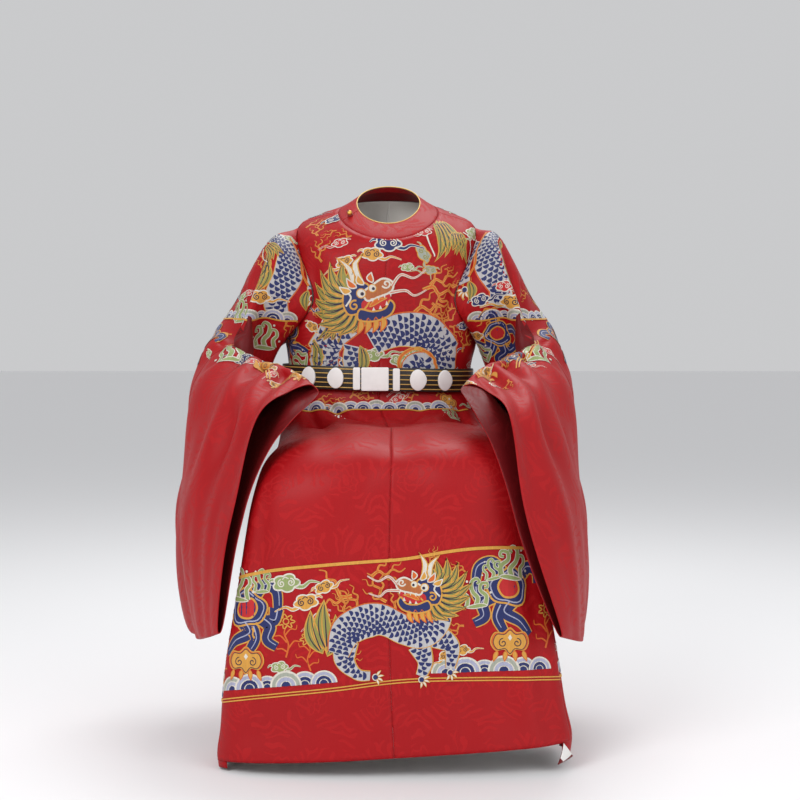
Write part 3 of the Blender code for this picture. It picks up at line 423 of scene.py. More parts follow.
def body_creased(rows, angles):
    """The body with its large folds and its creases."""
    out = np.zeros(rows.shape)
    for row, angle, to_row, to_angle, width, depth in CREASES:
        turn = ((angles - angle + 180) % 360 - 180 + angle) / DEGREES_PER_ROW
        ends = (row, angle / DEGREES_PER_ROW, to_row, to_angle / DEGREES_PER_ROW)
        distance, along = line_distance(rows, turn, *ends)
        out += depth * bump(distance, width) * (0.35 + 0.65 * np.sin(np.pi * np.clip(along, 0.05, 0.95)))
    return body(rows, angles) + body_normal(rows, angles) * out[..., None]


def body_sheet(name, behind):
    """The front or the back, both halves in one grid, with its chart of rows and angles."""
    rows = even_rows(SEAM_ROW, HEM_ROW)
    halves = int(0.40 / CLOTH_STEP)
    share = np.linspace(-1, 1, 2 * halves + 1)
    angles = panel_edge(rows, behind)[:, None] * share[None, :]
    angles = 180 - angles if behind else angles
    rows = rows[:, None] + 0 * angles
    return Sheet(name, body_creased(rows, angles), (rows, angles), outward=-1 if behind else 1)


def sleeve_sheet(name, side):
    """A sleeve from its armhole to the cuff, with its chart of stations and turns."""
    stations = np.linspace(0, LAST_STATION, 121)
    turns = np.linspace(0, 2, 144, endpoint=False)
    station, turn = np.meshgrid(stations, turns, indexing="ij")
    points = sleeve_joined(side, station, turn)
    normals = grid_normals(points, True)
    out = np.zeros(station.shape)
    for fold_station, fold_turn, to_station, to_turn, width, depth in SLEEVE_FOLDS + SLEEVE_CREASES:
        ends = (fold_station, fold_turn * TURN_LENGTH, to_station, to_turn * TURN_LENGTH)
        out += depth * bump(line_distance(station, turn * TURN_LENGTH, *ends)[0], width)
    out *= np.clip(station / JOIN_STATIONS, 0, 1) * side
    points = points - normals * out[..., None]
    share = np.zeros(station.shape)
    for ease_station, ease_turn, stations_reach, turns_reach in SLEEVE_EASES:
        share += bump(station - ease_station, stations_reach) * bump(turn - ease_turn, turns_reach)
    share = (np.clip(share * 1.5, 0, 1) * np.clip(station / 0.4, 0, 1))[..., None]
    for _ in range(EASING_PASSES):
        ends = np.concatenate([points[:1], points, points[-1:]])
        mean = (ends[2:] + ends[:-2] + np.roll(points, 1, axis=1) + np.roll(points, -1, axis=1)) / 4
        points = points + (mean - points) * share
    return Sheet(name, points, (station, turn), True, -1 if side > 0 else 1)


def flap_sheet(name, side, drop):
    """A side flap with its pleats, under the edges of the front and the back."""
    rows = even_rows(SLIT_ROW + SLIT_ROWS, HEM_ROW + drop, 80.0)[:, None]
    edge = panel_edge(rows)
    strip = edge / FLAP_STRIPS
    within = np.linspace(0, 1, 61)[None, :]
    angles = np.concatenate([edge - strip, edge - strip / 2, edge + (180 - 2 * edge) * within], axis=1)
    angles = np.concatenate([angles, 180 - edge + strip / 2, 180 - edge + strip], axis=1) * side
    within = np.concatenate([[0.0, 0.0], within[0], [0.0, 0.0]])[None, :]
    pleats = 0.55 - 0.45 * np.cos(2 * np.pi * FLAP_PLEATS * within)
    sunk = FLAP_PLEAT * np.sin(np.pi * within) ** 0.5 * pleats + FLAP_UNDER
    rows = rows + 0 * angles
    points = body(rows, angles) - body_normal(rows, angles) * sunk[..., None]
    return Sheet(name, points, (rows, angles), outward=side)


sheets = {
    "front": body_sheet("front", False),
    "back": body_sheet("back", True),
    "sleeve_left": sleeve_sheet("sleeve_left", 1),
    "sleeve_right": sleeve_sheet("sleeve_right", -1),
    "flap_left": flap_sheet("flap_left", 1, FLAP_DROP["left"]),
    "flap_right": flap_sheet("flap_right", -1, FLAP_DROP["right"]),
}

# What the cloth looks like: red satin with self-coloured flower scrolls in its weave. It is lined in
# pale silk inside the body, and faced in red inside the sleeves and along the hem, a red painted darker as shade.
RED_DEEP, RED_MID, RED_BRIGHT = (0.24, 0.0018, 0.0040), (0.37, 0.0030, 0.0060), (0.47, 0.010, 0.012)
# The facing's red is real, but its darker tone is painted shade, for the shade inside the sleeves.
RED_INSIDE_SHADED = (0.13, 0.003, 0.005)
LINING = (0.80, 0.77, 0.72)
DAMASK_REPEAT, DAMASK_DRIFT = 0.125, 0.050
THREAD = 0.0011


def put(socket, value):
    """Sets an input to a value, or links it to another node's output."""
    if isinstance(value, bpy.types.NodeSocket):
        socket.id_data.links.new(value, socket)
    else:
        socket.default_value = value


def reckon(tree, operation, *values):
    node = tree.nodes.new("ShaderNodeMath")
    node.operation = operation
    for socket, value in zip(node.inputs, values):
        put(socket, value)
    return node.outputs[0]


def group_of(name, inputs, outputs):
    """A new shader node group with named sockets, and its input and output nodes."""
    group = bpy.data.node_groups.new(name, "ShaderNodeTree")
    for label, kind, value in inputs:
        socket = group.interface.new_socket(label, in_out="INPUT", socket_type=kind)
        if value is not None:
            socket.default_value = value
    for label, kind in outputs:
        group.interface.new_socket(label, in_out="OUTPUT", socket_type=kind)
    return group, group.nodes.new("NodeGroupInput"), group.nodes.new("NodeGroupOutput")


def ring(tree, radius, middle, width):
    """1 on a line where radius is near middle, and 0 away from it."""
    gap = reckon(tree, "ABSOLUTE", reckon(tree, "SUBTRACT", radius, middle))
    near = reckon(tree, "DIVIDE", reckon(tree, "SUBTRACT", width, gap), width * 0.5)
    return reckon(tree, "MINIMUM", reckon(tree, "MAXIMUM", near, 0.0), 1.0)


def flower_scroll_group():
    """Flower heads in staggered rows with scrolling leaves between them, as the weave's figure."""
    inputs = (("Vector", "NodeSocketVector", None), ("Repeat", "NodeSocketFloat", DAMASK_REPEAT))
    group, given, result = group_of("flower_scrolls", inputs, (("Figure", "NodeSocketFloat"),))
    drift = group.nodes.new("ShaderNodeTexNoise")
    put(drift.inputs["Vector"], given.outputs["Vector"])
    drift.inputs["Scale"].default_value = 22.0
    drift.inputs["Detail"].default_value = 1.0
    bent = group.nodes.new("ShaderNodeVectorMath")
    bent.operation = "MULTIPLY_ADD"
    put(bent.inputs[0], drift.outputs["Color"])
    bent.inputs[1].default_value = (DAMASK_DRIFT, DAMASK_DRIFT, 0.0)
    put(bent.inputs[2], given.outputs["Vector"])
    parts = group.nodes.new("ShaderNodeSeparateXYZ")
    put(parts.inputs[0], bent.outputs[0])
    down = reckon(group, "DIVIDE", parts.outputs["Y"], given.outputs["Repeat"])
    row = reckon(group, "FLOOR", down)
    shift = reckon(group, "MULTIPLY", reckon(group, "FLOORED_MODULO", row, 2.0), 0.5)
    across = reckon(group, "ADD", reckon(group, "DIVIDE", parts.outputs["X"], given.outputs["Repeat"]), shift)
    x = reckon(group, "SUBTRACT", reckon(group, "FRACT", across), 0.5)
    y = reckon(group, "SUBTRACT", reckon(group, "FRACT", down), 0.5)
    radius = reckon(group, "SQRT", reckon(group, "ADD", reckon(group, "MULTIPLY", x, x), reckon(group, "MULTIPLY", y, y)))
    turn = reckon(group, "ARCTAN2", y, x)
    petals = reckon(group, "COSINE", reckon(group, "MULTIPLY", turn, 7.0))
    outer = ring(group, radius, reckon(group, "MULTIPLY_ADD", petals, 0.030, 0.190), 0.022)
    inner = ring(group, radius, reckon(group, "MULTIPLY_ADD", petals, -0.020, 0.110), 0.020)
    heart = ring(group, radius, 0.03, 0.03)
    coil = reckon(group, "SINE", reckon(group, "MULTIPLY_ADD", radius, 52.0, reckon(group, "MULTIPLY", turn, -3.0)))
    lobes = reckon(group, "SINE", reckon(group, "MULTIPLY", turn, 5.0))
    leaf = reckon(group, "MULTIPLY", reckon(group, "GREATER_THAN", coil, 0.35), reckon(group, "GREATER_THAN", lobes, -0.25))
    outside = reckon(group, "MULTIPLY", reckon(group, "GREATER_THAN", radius, 0.26), leaf)
    both = reckon(group, "MAXIMUM", reckon(group, "MAXIMUM", outer, inner), reckon(group, "MAXIMUM", heart, outside))
    put(result.inputs["Figure"], both)
    return group


def twill_group():
    """Fine slanted ribs of thread, and the long faint streaks of uneven silk."""
    inputs = (("Vector", "NodeSocketVector", None), ("Thread", "NodeSocketFloat", THREAD))
    outputs = (("Height", "NodeSocketFloat"), ("Streak", "NodeSocketFloat"))
    group, given, result = group_of("silk_twill", inputs, outputs)
    parts = group.nodes.new("ShaderNodeSeparateXYZ")
    put(parts.inputs[0], given.outputs["Vector"])
    slant = reckon(group, "ADD", parts.outputs["X"], reckon(group, "MULTIPLY", parts.outputs["Y"], 0.6))
    wave = reckon(group, "SINE", reckon(group, "DIVIDE", reckon(group, "MULTIPLY", slant, math.tau), given.outputs["Thread"]))
    put(result.inputs["Height"], wave)
    mapping = group.nodes.new("ShaderNodeMapping")
    put(mapping.inputs["Vector"], given.outputs["Vector"])
    mapping.inputs["Scale"].default_value = (420.0, 26.0, 1.0)
    noise = group.nodes.new("ShaderNodeTexNoise")
    put(noise.inputs["Vector"], mapping.outputs[0])
    noise.inputs["Scale"].default_value = 1.0
    noise.inputs["Detail"].default_value = 2.0
    put(result.inputs["Streak"], noise.outputs["Fac"])
    return group


flower_scrolls, silk_twill = flower_scroll_group(), twill_group()


def place_group(tree, group, **values):
    node = tree.nodes.new("ShaderNodeGroup")
    node.node_tree = group
    for label, value in values.items():
        put(node.inputs[label], value)
    return node


def mixed(tree, share, one, other):
    """One colour where share is 0 and the other where it is 1."""
    node = tree.nodes.new("ShaderNodeMix")
    node.data_type = "RGBA"
    put(node.inputs[0], share)
    for socket, value in ((node.inputs[6], one), (node.inputs[7], other)):
        put(socket, value if isinstance(value, bpy.types.NodeSocket) else (*value, 1))
    return node.outputs[2]


def ranged(tree, value, low, high):
    node = tree.nodes.new("ShaderNodeMapRange")
    put(node.inputs["Value"], value)
    node.inputs["To Min"].default_value, node.inputs["To Max"].default_value = low, high
    return node.outputs["Result"]


def clouded(tree, scale, detail=3.0):
    """Soft uneven patches in the object's own space."""
    place = tree.nodes.new("ShaderNodeTexCoord").outputs["Object"]
    noise = tree.nodes.new("ShaderNodeTexNoise")
    put(noise.inputs["Vector"], place)
    noise.inputs["Scale"].default_value = scale
    noise.inputs["Detail"].default_value = detail
    return noise.outputs["Fac"]


def raised(tree, shader, height, depth):
    node = tree.nodes.new("ShaderNodeBump")
    put(node.inputs["Height"], height)
    node.inputs["Strength"].default_value = 1.0
    node.inputs["Distance"].default_value = depth
    put(shader.inputs["Normal"], node.outputs["Normal"])


def new_look(name):
    look = bpy.data.materials.new(name)
    look.use_nodes = True
    return look, look.node_tree, look.node_tree.nodes["Principled BSDF"]


def silk(name, deep, mid, bright, figured=0.34, gloss=(0.48, 0.60), sheen=0.03):
    """Satin silk with the woven figure a little lighter and duller than its ground."""
    look, tree, shader = new_look(name)
    cloth_map = tree.nodes.new("ShaderNodeUVMap")
    cloth_map.uv_map = "cloth"
    figure = place_group(tree, flower_scrolls, Vector=cloth_map.outputs[0]).outputs["Figure"]
    twill = place_group(tree, silk_twill, Vector=cloth_map.outputs[0])
    ground = mixed(tree, ranged(tree, clouded(tree, 5.0), 0.0, 1.0), deep, mid)
    ground = mixed(tree, ranged(tree, twill.outputs["Streak"], 0.25, 0.75), ground, mid)
    put(shader.inputs["Base Color"], mixed(tree, reckon(tree, "MULTIPLY", figure, figured), ground, bright))
    put(shader.inputs["Roughness"], ranged(tree, figure, *gloss))
    shader.inputs["Sheen Weight"].default_value = sheen
    shader.inputs["Sheen Roughness"].default_value = 0.4
    shader.inputs["Sheen Tint"].default_value = (1.0, 0.16, 0.12, 1)
    shader.inputs["Specular IOR Level"].default_value = 0.22
    height = reckon(tree, "MULTIPLY_ADD", figure, 0.8, reckon(tree, "MULTIPLY", twill.outputs["Height"], 0.12))
    raised(tree, shader, height, 0.00012)
    return look


red_silk = silk("red_silk", RED_DEEP, RED_MID, RED_BRIGHT)
# The facing is red silk; its darker tone is painted shade, as inside the sleeves.
shaded_red_facing = silk("shaded_red_facing", RED_INSIDE_SHADED, RED_INSIDE_SHADED, RED_DEEP, 0.2, (0.5, 0.6), 0.1)
pale_lining = silk("pale_lining", LINING, LINING, LINING, 0.0, (0.5, 0.6), 0.1)

# The robe's panels. Each is a wall of cloth: its outer face is the sheet, its inner one lies a
# little inside, and the edges are closed. Panels meet at fine seams.
FACING_WIDTH = 0.030


def cloth_map_of(sheet, rows, columns):
    """How far across and down the cloth each point lies, in metres, for the weave to follow."""
    across = lengths_along(np.concatenate([sheet.points, sheet.points[:, :1]], axis=1), 1)
    down = lengths_along(sheet.points, 0)
    level = down.mean(axis=1, keepdims=True) + 0 * across
    if not sheet.cyclic:
        across = across - across[:, across.shape[1] // 2][:, None]
    return across[rows][:, columns], -level[rows][:, columns]


def drawn_in(points, cyclic):
    """The grid with its borders moved in by half a seam's gap."""
    points = points.copy()
    for axis in (0,) if cyclic else (0, 1):
        lines = np.moveaxis(points, axis, 0)
        lines[0] += unit(lines[1] - lines[0]) * SEAM_DRAW
        lines[-1] += unit(lines[-2] - lines[-1]) * SEAM_DRAW
    return points


def mesh_object(name, points, faces, looks, slots=None, maps=None):
    """A new smooth object at the origin from points and faces."""
    mesh = bpy.data.meshes.new(name)
    mesh.from_pydata(np.asarray(points, float).reshape(-1, 3).tolist(), [], [list(map(int, face)) for face in faces])
    for look in looks:
        mesh.materials.append(look)
    if slots is not None:
        mesh.polygons.foreach_set("material_index", np.asarray(slots, np.int32))
    if maps is not None:
        layer = mesh.uv_layers.new(name="cloth")
        layer.data.foreach_set("uv", np.asarray(maps, np.float32).ravel())
    mesh.shade_smooth()
    made = bpy.data.objects.new(name, mesh)
    scene.collection.objects.link(made)
    return made


def cloth_piece(name, sheet, rows, columns, inside, node):
    """A panel cut from a sheet, as a thin closed wall."""
    outer = drawn_in(sheet.points[rows][:, columns], sheet.cyclic)
    inner = outer - sheet.normals[rows][:, columns] * WALL
    n, m = outer.shape[:2]
    spans = m if sheet.cyclic else m - 1
    i, k = (grid.ravel() for grid in np.meshgrid(np.arange(n - 1), np.arange(spans), indexing="ij"))
    a, b, c, d = i * m + k, i * m + (k + 1) % m, (i + 1) * m + (k + 1) % m, (i + 1) * m + k
    quads = np.stack([a, d, c, b], axis=1)
    if sheet.cyclic:
        columns = np.append(columns, sheet.points.shape[1])
    across, down = cloth_map_of(sheet, rows, columns)
    corner = lambda grid: np.stack([grid[i, k], grid[i + 1, k], grid[i + 1, k + 1], grid[i, k + 1]], axis=1)
    maps = np.stack([corner(across), corner(down)], axis=-1)
    if np.dot(np.cross(outer[1, 1] - outer[0, 1], outer[0, 2] - outer[0, 1]), sheet.normals[rows[0], columns[1]]) < 0:
        quads, maps = quads[:, ::-1], maps[:, ::-1]
    under = n * m
    low = down.min() + FACING_WIDTH
    faces = list(quads) + list(quads[:, ::-1] + under)
    hem = np.asarray(corner(down)).mean(axis=1) < low
    slots = [0] * len(quads) + list(np.where(hem, 2, 1))
    maps = list(maps) + list(maps[:, ::-1])
    first, last = np.arange(m), np.arange(m) + (n - 1) * m
    rims = [(first, 1), (last, -1)]
    if not sheet.cyclic:
        rims += [(np.arange(n) * m, -1), (np.arange(n) * m + m - 1, 1)]
    turned_over = 1 if np.array_equal(quads[0], np.array([a[0], d[0], c[0], b[0]])) else -1
    for line, turn in rims:
        ends = len(line) if sheet.cyclic else len(line) - 1
        for q in range(ends):
            one, two = line[q], line[(q + 1) % len(line)]
            face = (one, two, two + under, one + under)[:: turn * turned_over]
            faces.append(face)
            slots.append(0)
            maps.append(np.zeros((4, 2)))
    points = np.concatenate([outer.reshape(-1, 3), inner.reshape(-1, 3)])
    piece = mesh_object(name, points, faces, (red_silk, inside, shaded_red_facing), slots, maps)
    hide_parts(node)
    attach(piece, "root")
    return piece


PANELS = (  # kind, cut width and length (m), flat area (m2), how it is held, what it hangs from
    ("front", (0.40, 1.47), 0.350, "draped", "collar_band"),
    ("back", (0.42, 1.52), 0.394, "draped", "collar_band"),
    ("side_flap", (0.24, 0.76), 0.120, "hung", "back"),
    ("sleeve_upper", (1.12, 0.50), 0.354, "draped", "front"),
    ("sleeve_lower", (1.24, 0.46), 0.520, "hung", "sleeve_upper"),
)
panels = []
for hand in ("left", "right"):
    other = "right" if hand == "left" else "left"
    for kind, cut_size, cut_area, held, hung_from in PANELS:
        sheet_name = {"side_flap": f"flap_{hand}"}.get(kind, f"sleeve_{hand}" if "sleeve" in kind else kind)
        sheet = sheets[sheet_name]
        n, m = sheet.points.shape[:2]
        rows, columns = np.arange(n), np.arange(m)
        if "sleeve" in kind:
            seam = int(round(EXTENSION_ROW / LAST_STATION * (n - 1)))
            rows = np.arange(seam + 1) if kind == "sleeve_upper" else np.arange(seam, n)
        elif kind != "side_flap":
            low_half = (hand == "right") == (kind == "front")
            columns = np.arange(m // 2 + 1) if low_half else np.arange(m // 2, m)
        inside = shaded_red_facing if "sleeve" in kind else pale_lining
        piece = cloth_piece(f"{kind}_{hand}_cloth", sheet, rows, columns, inside, f"{kind}_{hand}")
        hung_from = hung_from if hung_from == "collar_band" else f"{hung_from}_{hand}"
        panels.append((piece, cut_size, cut_area, held, hung_from, sheet_name))

# The woven figures: silks of many colours brought to the face of the cloth over the chest, the
# shoulders, the sleeves and a band round the knees. Each figure is laid a hair above the cloth, which
# it follows, as the extra wefts float on the satin. They are common court motifs drawn afresh.
SILKS = {
    "navy": (0.010, 0.018, 0.110), "white": (0.66, 0.62, 0.54), "pearl": (0.47, 0.46, 0.47), "lavender": (0.36, 0.37, 0.50),
    "gold": (0.62, 0.30, 0.045), "orange": (0.62, 0.12, 0.012), "olive": (0.27, 0.25, 0.055),
    "sage": (0.27, 0.34, 0.12), "grey": (0.34, 0.36, 0.30), "red": (0.50, 0.012, 0.014),
    "dark": (0.022, 0.012, 0.035), "flesh": (0.60, 0.22, 0.16), "rust": (0.42, 0.12, 0.03),
}
FIGURE_LIFT, LEVEL_LIFT, FILL_STEP, WIDE_RIBBON = 0.00050, 0.00006, 0.0075, 0.05


def curve(points, closed=False, per=8):
    """A smooth line through points."""
    points = np.asarray(points, float)
    if not closed:
        return through(points, np.linspace(0, len(points) - 1, per * (len(points) - 1) + 1))
    ring_points = np.vstack([points[-1:], points, points[:2]])
    return through(ring_points, np.linspace(1, len(points) + 1, per * len(points), endpoint=False))


def spiral(x, y, radius, turns, start=0.0, way=1):
    """A scroll that winds inwards from the start angle in degrees."""
    share = np.linspace(0, 1, int(turns * 16) + 2)
    angle = np.radians(start) + way * share * turns * math.tau
    reach = radius * (1 - 0.85 * share)
    return np.stack([x + reach * np.cos(angle), y + reach * np.sin(angle)], axis=1)


def circle(x, y, radius, sides=14):
    angle = np.linspace(0, math.tau, sides, endpoint=False)
    return np.stack([x + radius * np.cos(angle), y + radius * np.sin(angle)], axis=1)


class Drawing:
    """A woven figure as flat coloured shapes, with X to the right and Y up."""

    def __init__(self):
        self.shapes = []

    def fan(self, colour, outline, level=0):
        """A convex shape."""
        outline = np.asarray(outline, float)
        points = np.vstack([outline, outline.mean(axis=0)])
        last = len(outline)
        faces = [(k, (k + 1) % last, last) for k in range(last)]
        self.shapes.append((colour, points, faces, level))

    def fill(self, colour, outline, level=0, edge=None, width=0.0, real=0.1):
        """Any closed shape, cut into triangles small enough to follow the cloth, and its edge line."""
        outline = np.asarray(outline, float)
        low, high = outline.min(axis=0), outline.max(axis=0)
        step = FILL_STEP / real
        grid = np.stack(np.meshgrid(*(np.arange(a + step / 2, b, step) for a, b in zip(low, high))), -1).reshape(-1, 2)
        points = [Vector(point) for point in np.vstack([outline, grid])]
        last = len(outline)
        border = [(k, (k + 1) % last) for k in range(last)]
        made = geometry.delaunay_2d_cdt(points, border, [list(range(last))], 1, 1e-6)
        self.shapes.append((colour, np.array([tuple(point) for point in made[0]]), made[2], level))
        if edge:
            self.line(edge, outline, width, level + 1, closed=True)

    def line(self, colour, points, width, level=1, ends=(1.0, 1.0), closed=False):
        """A ribbon along points, with its widths at both ends as shares."""
        points = np.asarray(points, float)
        if closed:
            points = np.vstack([points, points[:2]])
        ahead = unit(np.gradient(points, axis=0))
        aside = np.stack([-ahead[:, 1], ahead[:, 0]], axis=1)
        half = width / 2 * np.linspace(ends[0], ends[1], len(points))[:, None]
        strips = 3 if width > WIDE_RIBBON else 1
        rails = [points + aside * half * share for share in np.linspace(-1, 1, strips + 1)]
        last = len(points)
        faces = [(r * last + k, r * last + k + 1, (r + 1) * last + k + 1, (r + 1) * last + k)
                 for r in range(strips) for k in range(last - 1)]
        self.shapes.append((colour, np.vstack(rails), faces, level))

    def corded(self, core, edge, points, width, rim, level=1, ends=(1.0, 1.0)):
        """A ribbon with an edge of another colour."""
        self.line(edge, points, width + 2 * rim, level, ends)
        self.line(core, points, width, level + 1, ends)

    def leaf(self, colour, root, tip, width, bend, level=1, edge=None, rim=0.0, real=0.1):
        """A pointed tongue from root to tip."""
        root, tip = np.asarray(root, float), np.asarray(tip, float)
        share = np.linspace(0, 1, 12)[:, None]
        aside = np.array([-(tip - root)[1], (tip - root)[0]])
        aside = aside / max(np.linalg.norm(aside), 1e-9)
        middle = root + (tip - root) * share + aside * bend * np.sin(np.pi * share)
        half = aside * width / 2 * np.sin(np.pi * share**0.75)
        self.fill(colour, np.vstack([middle - half, (middle + half)[-2:0:-1]]), level, edge, rim, real)
        return middle

    def add(self, other, at=(0.0, 0.0), size=1.0, turn=0.0, flip=False, level=0):
        for colour, points, faces, own in other.shapes:
            self.shapes.append((colour, moved(points, size, turn, flip) + np.asarray(at), faces, own + level))


def moved(points, size, turn, flip):
    c, s = math.cos(math.radians(turn)), math.sin(math.radians(turn))
    points = points * size * ((-1, 1) if flip else (1, 1))
    return points @ np.array([[c, s], [-s, c]])


def cloud(colour="navy", edge="white", scroll="white", tail=1.0):
    """A lobed cloud head with two scrolls and a trailing tail, one unit wide."""
    made = Drawing()
    angle = np.linspace(0, math.tau, 60, endpoint=False)
    reach = 0.33 + 0.10 * np.abs(np.cos(2.5 * angle + 0.4))
    if tail:
        line = curve([(0.2, -0.08), (0.55, -0.20), (0.85, -0.06), (1.0 + 0.3 * tail, -0.16)])
        made.corded(colour, edge, line, 0.12, 0.045, 0, (1.0, 0.25))
        line = curve([(-0.2, 0.06), (-0.50, 0.16), (-0.66, 0.05)])
        made.corded(colour, edge, line, 0.10, 0.045, 0, (1.0, 0.3))
    outline = np.stack([reach * 1.15 * np.cos(angle), reach * 0.72 * np.sin(angle)], axis=1)
    made.fill(colour, outline, 2, edge, 0.055)
    made.line(scroll, spiral(-0.16, 0.0, 0.14, 1.5, 90, 1), 0.040, 4)
    made.line(scroll, spiral(0.18, 0.0, 0.14, 1.5, 90, -1), 0.040, 4)
    made.line(scroll, curve([(-0.10, 0.13), (0.0, 0.20), (0.12, 0.13)]), 0.035, 4)
    return made


def wave(order=("white", "lavender", "white", "navy", "white", "navy")):
    """One wave as nested half rings, two units wide, standing on its flat side."""
    made = Drawing()
    radii = (1.0, 0.88, 0.66, 0.58, 0.36, 0.29, 0.0)
    angle = np.linspace(0, np.pi, 18)
    for colour, outer, inner in zip(order, radii, radii[1:]):
        middle = (outer + inner) / 2
        line = np.stack([middle * np.cos(angle), middle * 0.92 * np.sin(angle)], axis=1)
        made.line(colour, line, outer - inner + 0.01, 0)
    return made


def foam(colour="sage", edge="white"):
    """Curling foam with three hooked crests and loose drops, one unit high."""
    made = Drawing()
    for line, width in (
        (((-0.30, -0.40), (-0.36, -0.10), (-0.16, 0.12), (-0.20, 0.34), (-0.40, 0.36), (-0.42, 0.22), (-0.30, 0.20)), 0.15),
        (((0.05, -0.45), (-0.05, -0.15), (0.12, 0.10), (0.14, 0.42), (-0.04, 0.54), (-0.14, 0.42), (-0.04, 0.36)), 0.16),
        (((0.36, -0.42), (0.30, -0.12), (0.42, 0.06), (0.38, 0.26), (0.22, 0.28), (0.20, 0.16)), 0.13),
    ):
        made.corded(colour, edge, curve(line), width * 0.9, 0.030, 0, (1.0, 0.45))
    made.fill(colour, curve([(-0.36, -0.44), (-0.2, -0.34), (0.1, -0.36), (0.38, -0.44), (0.1, -0.50)], True, 6), 2, edge, 0.030)
    for x, y in ((-0.52, 0.02), (0.30, 0.46), (0.52, -0.16)):
        made.fan(edge, circle(x, y, 0.045, 8), 1)
    return made


def rock():
    """A worn garden rock with a hole through it, in blue with gold edges, one unit high."""
    made = Drawing()
    limbs = (
        ((-0.14, 0.24), (-0.30, 0.40), (-0.44, 0.36), (-0.46, 0.20)), ((0.10, 0.28), (0.26, 0.44), (0.44, 0.36), (0.46, 0.10)),
        ((0.18, 0.0), (0.34, -0.12), (0.30, -0.30), (0.44, -0.40)), ((-0.08, -0.04), (0.02, -0.22), (-0.20, -0.34), (-0.36, -0.50)),
        ((0.06, -0.10), (0.12, -0.30), (0.02, -0.48)), ((0.44, 0.12), (0.40, -0.04), (0.30, -0.02)),
    )
    for line in limbs:
        made.corded("navy", "gold", curve(line), 0.19, 0.022, 0, (1.0, 0.6))
        made.line("lavender", curve(line)[2:-2] + (0.02, 0.012), 0.02, 3, (1.0, 0.5))
    angle = np.linspace(0, math.tau, 36, endpoint=False)
    wobble = 1 + 0.09 * np.cos(3 * angle + 0.6) + 0.06 * np.sin(5 * angle)
    outer = np.stack([0.29 * wobble * np.cos(angle), 0.12 + 0.25 * wobble * np.sin(angle)], axis=1)
    made.fill("navy", outer, 2, "gold", 0.026)
    made.line("lavender", (outer - (0, 0.12)) * 0.82 + (0, 0.12), 0.018, 4, closed=True)
    hole = curve([(-0.15, 0.10), (-0.08, 0.24), (0.08, 0.25), (0.15, 0.12), (0.06, -0.01), (-0.09, 0.0)], True, 5)
    made.fill("red", hole, 5, "gold", 0.028)
    return made


def lotus():
    """A gold cloud-head seat with two scrolls and a fringe of petals, one unit wide."""
    made = Drawing()
    head = curve([(0, 0.42), (0.16, 0.30), (0.38, 0.30), (0.48, 0.08), (0.36, -0.12), (0.14, -0.10), (0, -0.24),
                  (-0.14, -0.10), (-0.36, -0.12), (-0.48, 0.08), (-0.38, 0.30), (-0.16, 0.30)], True, 5)
    made.fill("orange", head * 1.16, 0, "gold", 0.03)
    made.fill("gold", head, 2, "dark", 0.022)
    made.line("dark", spiral(-0.20, 0.06, 0.13, 1.3, 90, 1), 0.028, 4)
    made.line("dark", spiral(0.20, 0.06, 0.13, 1.3, 90, -1), 0.028, 4)
    made.fan("white", [(0, 0.30), (0.06, 0.21), (0, 0.12), (-0.06, 0.21)], 4)
    for x in (-0.36, -0.12, 0.12, 0.36):
        made.leaf("gold", (x, -0.16), (x * 1.35, -0.46), 0.13, 0.0, 1, "orange", 0.022)
    return made


def flame(spread=1.0):
    """Licking flames that branch from one stem, one unit long, running to the right."""
    made = Drawing()
    for line, width in (
        (((0, 0), (0.22, 0.10), (0.40, -0.04), (0.62, 0.08), (0.82, -0.02), (1.0, 0.06)), 0.09),
        (((0.16, 0.06), (0.26, 0.26), (0.44, 0.24), (0.50, 0.38 * spread), (0.68, 0.40 * spread)), 0.06),
        (((0.36, 0.0), (0.46, -0.18), (0.64, -0.16), (0.72, -0.30 * spread), (0.88, -0.28 * spread)), 0.06),
        (((0.60, 0.06), (0.68, 0.20), (0.84, 0.18), (0.92, 0.28)), 0.045),
    ):
        made.corded("orange", "gold", curve(line), width * 0.45, width * 0.30, 0, (1.0, 0.3))
    return made


def sprig():
    """A flowering stem in gold line, one unit high."""
    made = Drawing()
    made.line("orange", curve([(0, -0.5), (0.06, -0.2), (-0.04, 0.05), (0.0, 0.22)]), 0.045, 0, (1.0, 0.7))
    for x, y, tip_x, tip_y in ((0.05, -0.3, 0.34, -0.12), (0.02, -0.15, -0.28, 0.0), (-0.02, 0.02, 0.24, 0.16), (0.04, -0.38, -0.22, -0.3)):
        made.line("orange", curve([(x, y), ((x + tip_x) / 2, tip_y), (tip_x, tip_y), (tip_x * 1.1, tip_y + 0.1)]), 0.04, 0, (1.0, 0.5))
    angle = np.linspace(0, math.tau, 40, endpoint=False)
    reach = 0.17 + 0.05 * np.cos(7 * angle)
    made.line("gold", np.stack([reach * np.cos(angle), 0.34 + reach * 0.8 * np.sin(angle)], axis=1), 0.03, 1, closed=True)
    made.line("gold", circle(0, 0.34, 0.07, 10), 0.03, 1, closed=True)
    return made


def tuft(made, root, tip, width, bend, level=0, real=0.1):
    """A lock of mane or tail: a tongue with fine dark and gold hairs along it."""
    middle = made.leaf("olive", root, tip, width, bend, level, "gold", width * 0.08, real)
    aside = np.stack([-np.gradient(middle, axis=0)[:, 1], np.gradient(middle, axis=0)[:, 0]], axis=1)
    for k, shade in ((-1, "dark"), (0, "gold"), (1, "dark")):
        hair = middle[1:-1] + unit(aside)[1:-1] * k * width * 0.2 * np.sin(np.linspace(0.3, 2.9, len(middle) - 2))[:, None]
        made.line(shade, hair, width * 0.09, level + 2, (1.0, 0.4))


